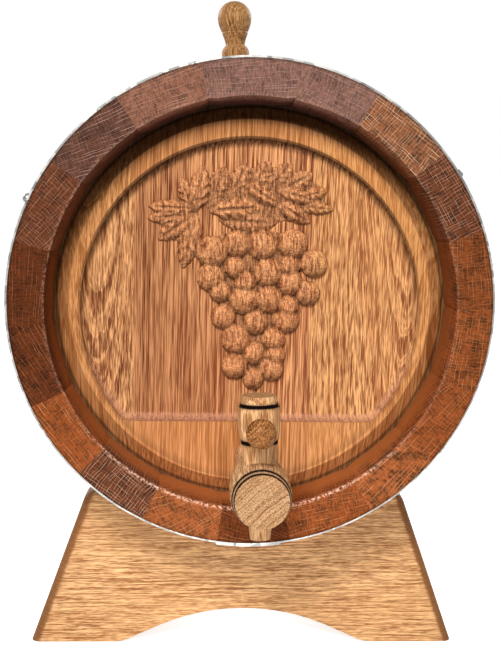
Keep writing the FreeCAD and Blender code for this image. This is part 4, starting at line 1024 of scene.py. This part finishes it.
@dataclass
class Carving:
    """The bunch of grapes under vine leaves, cut in low relief in the sunk panel."""

    places: Places
    floor: float = 0.0055
    sink: float = 0.0003
    spread: Point = (1.0, 0.7, 1.0)
    voxel: float = 0.00055
    ball_facets: tuple[int, int] = (32, 20)
    leaf_facets: tuple[int, int] = (64, 48)
    midrib_depth: float = 0.4
    midrib_width: float = 0.14
    rib_height: float = 0.16
    rib_slant: float = 2.2
    tooth_depth: float = 0.12
    side_taper: float = 0.8
    crown_taper: float = 0.5
    soften_factor: float = 0.5
    soften_steps: int = 3
    fibre_lift: float = 0.00022
    fray_lift: float = 0.0002
    fray_shift: float = 0.00025
    tear_shift: float = 0.0004
    grape_swell: float = 1.05
    grape_height: float = 4.6
    grape_lift: tuple[float, float] = (0.3, 0.8)
    bunch_ends: tuple[float, float] = (-42.0, 31.0)
    blur: int = 10
    # the next four set painted shade in the hollows, painted light on the ridges and painted shade near the
    # panel's floor
    deepest: float = 0.0005
    hollow_shade: float = 0.34
    ridge_highlight: float = 1.3
    dusk: float = 0.8
    grapes: tuple[Grape, ...] = (
        Grape(-20.8, 26.3, 8.1),
        Grape(-7.3, 30.7, 6.8),
        Grape(6.3, 30.1, 7.6),
        Grape(22.4, 31.1, 7.7),
        Grape(-21.5, 12.7, 7.2),
        Grape(-8.0, 18.0, 5.6),
        Grape(9.0, 15.7, 7.5),
        Grape(20.9, 19.2, 5.4),
        Grape(34.1, 20.7, 7.2),
        Grape(-16.3, 5.1, 5.6),
        Grape(-2.8, 10.4, 5.6),
        Grape(21.5, 10.3, 6.8),
        Grape(31.0, 4.8, 6.4),
        Grape(-3.5, 0.6, 7.5),
        Grape(10.1, 1.2, 7.2),
        Grape(20.5, -2.6, 5.6),
        Grape(-14.5, -8.5, 6.4),
        Grape(3.1, -11.3, 6.4),
        Grape(19.8, -9.9, 6.8),
        Grape(-7.5, -20.5, 7.8),
        Grape(13.1, -20.3, 6.3),
        Grape(2.5, -28.1, 6.0),
        Grape(14.1, -28.9, 5.3),
        Grape(-8.1, -35.1, 6.8),
        Grape(12.1, -36.2, 6.6),
        Grape(2.3, -42.0, 5.6),
    )
    lobes: tuple[Lobe, ...] = (
        Lobe((-28.0, 49.0), (-55.5, 50.0), 8.5, 3.6),
        Lobe((-29.0, 46.0), (-56.0, 43.5), 9.0, 3.3),
        Lobe((-31.0, 47.0), (-37.5, 66.0), 9.0, 3.4),
        Lobe((-30.0, 46.5), (-25.6, 72.5), 11.5, 3.8),
        Lobe((-29.0, 47.0), (-50.0, 32.0), 11.5, 3.4),
        Lobe((-29.0, 47.0), (-36.5, 16.5), 12.0, 3.4),
        Lobe((-23.0, 48.0), (7.0, 50.5), 12.0, 4.2),
        Lobe((-4.0, 63.5), (16.0, 51.0), 9.5, 4.0),
        Lobe((13.0, 60.0), (37.0, 53.0), 8.5, 3.8),
        Lobe((13.0, 53.5), (32.0, 42.0), 9.5, 3.8),
        Lobe((25.0, 51.5), (44.5, 49.5), 7.5, 3.2),
        Lobe((26.0, 56.0), (41.0, 60.0), 7.0, 3.0),
        Lobe((-21.0, 53.0), (-14.0, 72.0), 12.0, 2.3),
        Lobe((-11.0, 56.0), (-2.0, 74.0), 11.0, 2.3),
        Lobe((0.0, 60.0), (10.0, 75.0), 11.0, 2.3),
        Lobe((9.0, 61.0), (22.0, 74.0), 10.0, 2.3),
        Lobe((17.0, 60.0), (33.0, 69.0), 10.0, 2.4),
        Lobe((-18.0, 43.5), (14.5, 42.0), 13.0, 2.6, 9.0),
    )
    mounds: tuple[Mound, ...] = (
        Mound(2.0, 24.0, 30.0, 15.0, 1.1),
        Mound(6.0, 2.0, 24.0, 20.0, 1.2),
        Mound(3.0, -22.0, 15.0, 22.0, 1.1),
        Mound(6.0, 56.0, 34.0, 14.0, 1.3),
    )

    def ball(self, across: float, up: float, half: Point, lift: float) -> bpy.types.Object:
        """Model one swelling as a flattened sphere that is half sunk in the panel's floor.

        Args:
            across: Its middle across, in millimetres.
            up: Its middle up, in millimetres.
            half: Its half sizes across, out and up, in millimetres.
            lift: How far its middle stands out of the floor, in millimetres.

        Returns:
            The swelling.
        """
        out = self.places.front_head + self.floor - lift * MILLIMETRE
        place = (across * MILLIMETRE, out, up * MILLIMETRE + self.places.axis)
        segments, rings = self.ball_facets
        bpy.ops.mesh.primitive_uv_sphere_add(
            segments=segments, ring_count=rings, radius=MILLIMETRE, location=place
        )
        ball = bpy.context.object
        ball.scale = half
        bpy.ops.object.transform_apply(location=True, rotation=True, scale=True)
        return ball

    def grape(self, grape: Grape) -> bpy.types.Object:
        """Model one grape; the upper ones of the bunch lie over the lower ones.

        Args:
            grape: Its place and size.

        Returns:
            The grape.
        """
        radius = grape.radius * self.grape_swell
        (low, high), (bottom, top) = self.grape_lift, self.bunch_ends
        lift = low + (high - low) * (grape.up - bottom) / (top - bottom)
        return self.ball(grape.across, grape.up, (radius, self.grape_height, radius), lift)

    def lobe(self, lobe: Lobe) -> bpy.types.Object:
        """Model one leaf lobe: a sphere drawn out to two points, toothed, ribbed, with a sunk midrib.

        Args:
            lobe: Its tips, width and height.

        Returns:
            The lobe.
        """
        segments, rings = self.leaf_facets
        bpy.ops.mesh.primitive_uv_sphere_add(
            segments=segments, ring_count=rings, radius=1.0, location=(0, 0, 0)
        )
        leaf = bpy.context.object
        start, end = Vector(lobe.start) * MILLIMETRE, Vector(lobe.end) * MILLIMETRE
        run = end - start
        half = run.length / 2
        turn = math.atan2(run.y, run.x)
        floor = self.places.front_head + self.floor
        for vertex in leaf.data.vertices:
            x, y, z = vertex.co
            point = math.sqrt(max(0.0, 1 - x * x))
            slant = math.cos((x * lobe.ribs - abs(z) * self.rib_slant) * math.pi)
            midrib = self.midrib_depth * math.exp(-((z / self.midrib_width) ** 2)) * point
            groove = 1 - midrib + self.rib_height * slant * min(1.0, abs(z) * 2)
            teeth = 1 + self.tooth_depth * slant * abs(z)
            along, wide = x * half, z * point**self.side_taper * teeth * lobe.width * MILLIMETRE / 2
            vertex.co = (
                (start.x + end.x) / 2 + along * math.cos(turn) - wide * math.sin(turn),
                floor + y * point**self.crown_taper * groove * lobe.height * MILLIMETRE,
                (start.y + end.y) / 2 + along * math.sin(turn) + wide * math.cos(turn) + self.places.axis,
            )
        return leaf

    def melt(self, relief: bpy.types.Object) -> None:
        """Melt the joined parts into one skin and cut it off at the panel's floor.

        Args:
            relief: The joined parts.
        """
        melt = relief.modifiers.new("melt", "REMESH")
        melt.mode = "VOXEL"
        melt.voxel_size = self.voxel
        bpy.ops.object.modifier_apply(modifier=melt.name)
        soften = relief.modifiers.new("soften", "SMOOTH")
        soften.factor = self.soften_factor
        soften.iterations = self.soften_steps
        bpy.ops.object.modifier_apply(modifier=soften.name)
        bpy.ops.object.mode_set(mode="EDIT")
        bpy.ops.mesh.select_all(action="SELECT")
        cut = self.places.front_head + self.floor + self.sink
        bpy.ops.mesh.bisect(plane_co=(0, cut, 0), plane_no=(0, 1, 0), use_fill=True, clear_outer=True)
        bpy.ops.object.mode_set(mode="OBJECT")

    def roughen(self, relief: bpy.types.Object) -> None:
        """Raise the fibres that the cutter left, which run up and down.

        Args:
            relief: The melted carving.
        """
        floor = self.places.front_head + self.floor
        for vertex in relief.data.vertices:
            x, y, z = vertex.co
            if y > floor - 0.0002:
                continue
            stripe = noise.noise(Vector((x * 620, y * 200, z * 30)))
            stripe += 0.6 * noise.noise(Vector((x * 1200, y, z * 70)))
            fray = noise.noise(Vector((x * 260, 7.0, z * 260)))
            tear = noise.noise(Vector((x * 500, 3.0, z * 120)))
            raised = y + stripe * self.fibre_lift + fray * self.fray_lift
            vertex.co.y = max(raised, self.places.front_head + 0.0001)
            vertex.co.x = x + fray * self.fray_shift
            vertex.co.z = z + tear * self.tear_shift

    def hollows(self, relief: bpy.types.Object) -> None:
        """Store how deep each point lies under the mean height about it, for painted shade in the hollows and
        painted light on the ridges.

        Args:
            relief: The melted carving.
        """
        mesh = relief.data
        count = len(mesh.vertices)
        places = np.empty(count * 3)
        mesh.vertices.foreach_get("co", places)
        ends = np.empty(len(mesh.edges) * 2, dtype=int)
        mesh.edges.foreach_get("vertices", ends)
        first, second = ends[0::2], ends[1::2]
        neighbours = np.bincount(ends, minlength=count)
        height = -places[1::3]
        mean = height.copy()
        for _ in range(self.blur):
            total = np.bincount(first, mean[second], count) + np.bincount(second, mean[first], count)
            mean = total / neighbours
        mesh.attributes.new("hollow", "FLOAT", "POINT").data.foreach_set("value", mean - height)

    def skin(self, name: str, cut: BoardCut) -> bpy.types.Material:
        """The finish of the carving on one board: the board's grain, with painted shade in its hollows and
        near the panel's floor, and painted light on its ridges.

        Args:
            name: The board's name.
            cut: How the board was sawn.

        Returns:
            The carving's material there.
        """
        figure = Figure(
            ring=cut.ring, ring_mark=0.1, fibre=760, streak=40, fibre_mark=0.2, hair_mark=0.3,
            thread_mark=0.25, swirl=700, swirl_mark=0.35, ridge_mark=0.35, pore_mark=0.4, cloud_mark=0.3,
        )
        oak = Oak(cut.pale, cut.dark, cut.cloud, end=1.0, rough=0.5, relief=0.0003, figure=figure)
        bench = Bench(name + "_carved_oak")
        grain = saw(bench, oak, Sawing(cut.pith, cut.grain, tuple(middle(name)), self.spread))
        _, y, _ = bench.split(grain.place)
        floor = self.places.front_head + self.floor
        # painted shade: darker towards the panel's floor
        shade = bench.rise(y, floor - 0.0042, floor - 0.0004, 1.0, self.dusk)
        hollow = bench.node("ShaderNodeAttribute", {}, attribute_name="hollow").outputs["Fac"]
        # painted shade in the hollows and painted light on the ridges
        hollow_shading = bench.line(hollow, 0.0, self.deepest, 1.0, self.hollow_shade)
        worn = bench.line(hollow, -self.deepest, 0.0, self.ridge_highlight, 1.0)
        # the cutter left ripples across the grain; painted shade darkens the sides that face down, and
        # painted light brightens those that face up
        up = bench.split(grain.facing)[2]
        ripple = bench.noise(grain.place, (420, 300, 1500), 2.0, 0.6)
        down_facing_shade = bench.blend((up, 1.0), (ripple, 0.9), (1.0, -0.45))
        marks = bench.line(ripple, 0.36, 0.64, 0.8, 1.18)
        marks = bench.times(marks, bench.rise(down_facing_shade, -0.62, 0.08, 0.5, 1.0))
        marks = bench.times(marks, bench.line(up, 0.15, 0.75, 1.0, 1.2))
        colour = bench.darken(bench.darken(grain.colour, shade), bench.times(hollow_shading, worn))
        height = bench.blend((grain.height, 0.7), (ripple, 1.1))
        return bench.finish(bench.darken(colour, marks), grain.rough, height, oak.relief, Sheen(gloss=0.12))

    def build(self, cuts: dict[str, BoardCut]) -> None:
        """Model the bunch, melt its parts into one relief and lay it on the panel.

        Args:
            cuts: How the head's boards were sawn.
        """
        bpy.ops.object.select_all(action="DESELECT")
        parts = [self.grape(grape) for grape in self.grapes] + [self.lobe(lobe) for lobe in self.lobes]
        for mound in self.mounds:
            half = (mound.half_width, mound.height, mound.half_height)
            parts.append(self.ball(mound.across, mound.up, half, 0.0))
        for part in parts:
            part.select_set(True)
        bpy.context.view_layer.objects.active = parts[0]
        bpy.ops.object.join()
        relief = bpy.context.object
        relief.name = relief.data.name = "grape_carving"
        self.melt(relief)
        self.roughen(relief)
        self.hollows(relief)
        bpy.ops.object.shade_smooth()
        dress(relief, self.skin("front_head_middle_board", cuts["middle_board"]))
        relief.data.materials.append(self.skin("front_head_right_board", cuts["right_board"]))
        for face in relief.data.polygons:
            face.material_index = int(face.center.x > self.places.joint_right)
        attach(relief, "cask")
        log.info("grape_carving: %d faces", len(relief.data.polygons))


class Charring(Enum):
    """How dark a burnt ring is: how much of its tone covers the wood, and the tone."""

    BLACK = (1.0, Tone(14, 8, 5))
    BROWN = (0.8, Tone(78, 50, 28))


@dataclass(frozen=True)
class BurntRing:
    """A dark ring burnt round a turned piece: its place along the axis, its width and how dark it is."""

    place: float
    width: float
    charring: Charring


@dataclass(frozen=True)
class Turning:
    """One turned piece: how its blank was cut, its wood, where its axis starts, and what is burnt on it.

    The axis runs with the blank's grain, and a band is a greyed stretch between two places along it.
    """

    name: str
    sawing: Sawing
    oak: Oak
    start: Point
    rings: tuple[BurntRing, ...] = ()
    band: tuple[float, ...] = ()


@dataclass
class Turnings:
    """The turned pieces: the tap's body, key and handle peg, and the bung."""

    nodes: dict[str, bpy.types.Object]
    places: Places
    joints: dict[str, dict[str, Any]]
    tap_rings: tuple[float, float] = (0.0012, 0.005)
    key_rings: tuple[float, float] = (0.0236, 0.0413)
    band_tone: Tone = Tone(196, 168, 132)
    band_cover: float = 0.45
    band_edge: float = 0.0006
    halo_tone: Tone = Tone(104, 64, 34)
    halo_cover: float = 0.45

    def material(self, piece: Turning) -> bpy.types.Material:
        """The finish of one turned piece.

        Args:
            piece: The piece.

        Returns:
            Its material.
        """
        bench = Bench(piece.name + "_oak")
        grain = saw(bench, piece.oak, piece.sawing)
        colour, height = grain.colour, grain.height
        wander = bench.noise(grain.place, (300, 300, 300))
        along = bench.dot(bench.vector("SUBTRACT", grain.place, piece.start), piece.sawing.grain)
        along = bench.blend((along, 1.0), (wander, 0.0005), (1.0, -0.00025))
        if piece.band:
            start, end = piece.band
            near = bench.rise(along, start, start + self.band_edge)
            near = bench.times(near, bench.fall(along, end, end + self.band_edge))
            colour = bench.tint(bench.times(near, self.band_cover), colour, self.band_tone.linear())
        for ring in piece.rings:
            strength, char = ring.charring.value
            away = bench.sum("ABSOLUTE", bench.minus(along, ring.place))
            halo = bench.rise(away, ring.width * 0.45, ring.width * 1.2, self.halo_cover, 0.0)
            core = bench.rise(away, ring.width * 0.38, ring.width * 0.56, strength, 0.0)
            colour = bench.tint(halo, colour, self.halo_tone.linear())
            colour = bench.tint(core, colour, char.linear())
            height = bench.blend((height, 1.0), (core, -1.0))
        return bench.finish(colour, grain.rough, height, piece.oak.relief, Sheen(gloss=0.06))

    def build(self) -> None:
        """Dress the turned pieces."""
        tap, key, peg, bung = self.places.tap, self.places.key, self.places.peg, self.places.bung
        front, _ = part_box("tap_body")
        turn = Vector(self.joints["tap_key_turn"]["axis"])
        lift = tuple(self.joints["bung_lift"]["axis"])
        ahead, out = Vector((0, 1, 0)), Vector((turn.z, 0, -turn.x))
        figure = Figure(
            ring=0.0015, ring_mark=0.2, fibre=760, fibre_mark=0.2, hair_mark=0.4, thread_mark=0.45,
            swirl_mark=0.4, pore_mark=0.8, cloud_mark=0.4,
        )
        blond = Oak(Tone(255, 208, 154), Tone(146, 94, 56), Tone(196, 142, 94), 0.86, 0.5, 0.00014, figure)
        pale = Oak(Tone(246, 196, 142), Tone(160, 104, 60), Tone(214, 160, 108), 0.74, 0.5, 0.00012, figure)
        brown = Oak(Tone(196, 134, 78), Tone(92, 50, 22), Tone(124, 74, 36), 0.92, 0.36, 0.00008, figure)
        honey = Oak(Tone(214, 162, 106), Tone(112, 70, 34), Tone(160, 110, 64), 0.9, 0.42, 0.0001, figure)
        first, second = self.tap_rings
        low, high = self.key_rings
        pieces = (
            Turning(
                "tap_body",
                Sawing((tap.x + 0.05, tap.y, tap.z - 0.06), tuple(ahead), tuple(tap)),
                blond,
                (tap.x, front.y, tap.z),
                (BurntRing(first, 0.0019, Charring.BLACK), BurntRing(second, 0.0022, Charring.BLACK)),
                (first, second),
            ),
            Turning(
                "tap_key",
                Sawing(tuple(key + out * 0.03 + ahead * 0.05), tuple(turn), tuple(key)),
                pale,
                (tap.x, key.y, tap.z),
                (BurntRing(low, 0.0022, Charring.BLACK), BurntRing(high, 0.002, Charring.BLACK)),
            ),
            Turning(
                "tap_handle_peg",
                Sawing((peg.x - 0.05, peg.y, peg.z + 0.05), tuple(ahead), tuple(peg)),
                brown,
                tuple(peg),
            ),
            Turning(
                "bung",
                Sawing((bung.x - 0.032, bung.y + 0.03, bung.z), lift, tuple(bung)),
                honey,
                tuple(bung),
            ),
        )
        for piece in pieces:
            dress(self.nodes[piece.name], self.material(piece))
        log.info("dressed %d turned pieces", len(pieces))


@dataclass
class Stand:
    """The two cradle boards, their rails and dowels."""

    nodes: dict[str, bpy.types.Object]
    pale: Tone = Tone(240, 190, 134)
    dark: Tone = Tone(146, 92, 50)
    cloud: Tone = Tone(212, 156, 100)
    edge: Tone = Tone(122, 76, 40)
    splay: float = 0.358
    edge_width: tuple[float, float] = (0.0034, 0.0058)
    edge_cover: float = 0.9
    edge_wander: float = 0.0016

    def board(self, name: str, pith: Point, grain: Point, splayed: bool = False) -> bpy.types.Material:
        """The finish of one stand board.

        Args:
            name: The board's name.
            pith: A point on its log's middle line.
            grain: The direction of that line.
            splayed: Whether its sides lean, with a darker rounding along them.

        Returns:
            Its material.
        """
        figure = Figure(
            ring=0.0022, ring_mark=0.2, fibre=700, streak=13, fibre_mark=0.2, waviness=0.009, hair_mark=0.35,
            thread_mark=0.4, swirl=800, swirl_mark=0.35, ridge_mark=0.35, pore_mark=0.45, cloud_mark=0.2,
        )
        oak = Oak(self.pale, self.dark, self.cloud, end=0.5, rough=0.55, relief=0.0002, figure=figure)
        bench = Bench(name + "_oak")
        sawn = saw(bench, oak, Sawing(pith, grain, tuple(middle(name))))
        colour = sawn.colour
        if splayed:
            x, _, z = bench.split(sawn.place)
            away = bench.blend((z, -self.splay), (bench.sum("ABSOLUTE", x), -1.0), (1.0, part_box(name)[1].x))
            wander = bench.noise(sawn.place, (160, 160, 160), 2.0)
            away = bench.blend((away, 1.0), (wander, self.edge_wander), (1.0, -self.edge_wander / 2))
            rim = bench.rise(away, *self.edge_width, self.edge_cover, 0.0)
            rubbed = bench.line(sawn.height, -1.4, -0.2, 0.9, 1.1)
            colour = bench.tint(rim, colour, bench.darken(self.edge.linear()[:3], rubbed))
        return bench.finish(colour, sawn.rough, sawn.height, oak.relief, Sheen(gloss=0.12))

    def build(self) -> None:
        """Dress the boards, rails and dowels."""
        for name, pith, grain in (
            ("front_cradle_board", (0, -0.03, -0.06), (1, 0.0, 0.012)),
            ("back_cradle_board", (0, 0.17, -0.05), (1, 0.01, -0.015)),
        ):
            dress(self.nodes[name], self.board(name, pith, grain, splayed=True))
        for name, side in (("left_rail", -1), ("right_rail", 1)):
            dress(self.nodes[name], self.board(name, (side * 0.12, 0.0, -0.03), (0.02 * side, 1, 0.01)))
        dress(self.nodes["stand_dowels"], self.nodes["left_rail"].data.materials[0])
        log.info("dressed the stand")


@dataclass
class Studio:
    """A pale floor under soft light.

    shadow_near and shadow_far are each a distance on the floor and how brightly the floor shows there.
    """

    floor_size: float = 60.0
    floor_drop: float = 0.0003
    shadow_near: tuple[float, float] = (0.3, 0.78)
    shadow_far: tuple[float, float] = (1.1, 1.0)
    sky: float = 0.045
    target: Point = (0.0, -0.12, 0.2)
    key_place: Point = (-0.26, -1.34, 1.07)
    key_size: float = 0.5
    key_power: float = 25.5
    fill_place: Point = (0.95, 0.85, 0.85)
    fill_size: float = 0.7
    fill_power: float = 13.0
    low_place: Point = (0.06, -1.2, 0.05)
    low_target: Point = (0.0, -0.08, 0.018)
    low_size: float = 0.12
    low_power: float = 50.0
    low_cone: float = 13.0

    def floor(self) -> None:
        """Lay a floor that looks white and keeps the object's shadow."""
        bpy.ops.object.select_all(action="DESELECT")
        bpy.ops.mesh.primitive_plane_add(size=self.floor_size, location=(0, 0, -self.floor_drop))
        ground = bpy.context.object
        ground.name = "studio_floor"
        bench = Bench("studio_floor_paint")
        path = bench.node("ShaderNodeLightPath", {}).outputs
        seen = path["Is Camera Ray"]
        for ray in ("Is Glossy Ray", "Is Transmission Ray"):
            seen = bench.sum("MAXIMUM", seen, path[ray])
        place = bench.node("ShaderNodeTexCoord", {}).outputs["Object"]
        speckle = bench.noise(place, (90, 90, 90), 3.0)
        colour = bench.tint(speckle, Tone(232, 232, 231).linear(), Tone(240, 240, 239).linear())
        material = bench.finish(colour, 0.9, speckle, 0.0001, Sheen(gloss=0.1))
        (near, dim), (far, full) = self.shadow_near, self.shadow_far
        glow = bench.rise(bench.length(place), near, far, dim, full)
        bench.feed(bench.shader.inputs["Emission Color"], WHITE)
        bench.feed(bench.shader.inputs["Emission Strength"], bench.times(seen, glow))
        dress(ground, material)

    def world(self) -> None:
        """Light the room evenly, with a white background behind the object."""
        world = bpy.data.worlds.new("studio_air")
        bpy.context.scene.world = world
        world.use_nodes = True
        nodes, links = world.node_tree.nodes, world.node_tree.links
        nodes.clear()
        path = nodes.new("ShaderNodeLightPath")
        seen = path.outputs["Is Camera Ray"]
        for ray in ("Is Glossy Ray", "Is Transmission Ray"):
            either = nodes.new("ShaderNodeMath")
            either.operation = "MAXIMUM"
            links.new(seen, either.inputs[0])
            links.new(path.outputs[ray], either.inputs[1])
            seen = either.outputs[0]
        power = nodes.new("ShaderNodeMapRange")
        power.inputs[3].default_value = self.sky
        power.inputs[4].default_value = 1.0
        links.new(seen, power.inputs[0])
        air = nodes.new("ShaderNodeBackground")
        air.inputs["Color"].default_value = WHITE
        links.new(power.outputs[0], air.inputs["Strength"])
        output = nodes.new("ShaderNodeOutputWorld")
        links.new(air.outputs[0], output.inputs["Surface"])

    def lamp(
        self, name: str, place: Point, target: Point, size: float, power: float, cone: float = 0.0
    ) -> None:
        """Hang one lamp: a square one, or a soft spot if it has a cone.

        Args:
            name: Its name.
            place: Where it hangs.
            target: Where it points.
            size: Its side, or its radius if it is a spot.
            power: Its watts.
            cone: The angle of a spot's cone, in degrees.
        """
        data = bpy.data.lights.new(name, "SPOT" if cone else "AREA")
        data.energy = power
        if cone:
            data.shadow_soft_size = size
            data.spot_size = math.radians(cone)
            data.spot_blend = 1.0
        else:
            data.shape = "SQUARE"
            data.size = size
        lamp = bpy.data.objects.new(name, data)
        bpy.context.scene.collection.objects.link(lamp)
        lamp.location = place
        lamp.rotation_euler = (Vector(target) - Vector(place)).to_track_quat("-Z", "Y").to_euler()

    def build(self) -> None:
        """Lay the floor and hang the lamps: two in front, one high and one low, and two behind."""
        self.floor()
        self.world()
        self.lamp("key_lamp", self.key_place, self.target, self.key_size, self.key_power)
        self.lamp("low_lamp", self.low_place, self.low_target, self.low_size, self.low_power, self.low_cone)
        across, behind, above = self.fill_place
        for name, side in (("left_fill_lamp", -1), ("right_fill_lamp", 1)):
            self.lamp(name, (side * across, behind, above), self.target, self.fill_size, self.fill_power)
        bpy.context.scene.view_settings.view_transform = "Standard"
        log.info("studio set")


@dataclass
class Viewpoint:
    """The camera: where it stands, where it looks and its lens."""

    place: Point = (-0.02468, -0.69123, 0.24579)
    down: float = 5.5327
    right: float = 2.4174
    roll: float = 0.8779
    focal_pixels: float = 1101.44
    image_height: int = 645
    sensor: float = 36.0
    nearest: float = 0.01

    def build(self) -> None:
        """Set the camera up."""
        pitch, yaw, roll = (math.radians(angle) for angle in (self.down, self.right, self.roll))
        flat, drop = math.cos(pitch), math.sin(pitch)
        forward = Vector((math.sin(yaw) * flat, math.cos(yaw) * flat, -drop))
        level = Vector((math.cos(yaw), -math.sin(yaw), 0))
        above = Vector((math.sin(yaw) * drop, math.cos(yaw) * drop, flat))
        across = level * math.cos(roll) + above * math.sin(roll)
        up = above * math.cos(roll) - level * math.sin(roll)
        data = bpy.data.cameras.new("viewpoint")
        data.sensor_fit = "VERTICAL"
        data.sensor_height = self.sensor
        data.lens = self.focal_pixels * self.sensor / self.image_height
        data.clip_start = self.nearest
        camera = bpy.data.objects.new("viewpoint", data)
        bpy.context.scene.collection.objects.link(camera)
        turn = Matrix((across, up, -forward)).transposed()
        camera.matrix_world = Matrix.Translation(self.place) @ turn.to_4x4()
        bpy.context.scene.camera = camera
        log.info("camera set")


def main() -> None:
    """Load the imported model, dress it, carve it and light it."""
    logging.basicConfig(level=logging.INFO, format="%(name)s: %(message)s")
    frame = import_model()
    nodes = frame["nodes"]
    places = Places.read()
    Viewpoint().build()
    Studio().build()
    Cask(nodes, places).build()
    head = Head(nodes, places)
    head.build()
    Carving(places).build(head.cuts)
    Turnings(nodes, places, {joint["name"]: joint for joint in frame["joints"]}).build()
    Stand(nodes).build()


if __name__ == "__main__":
    main()
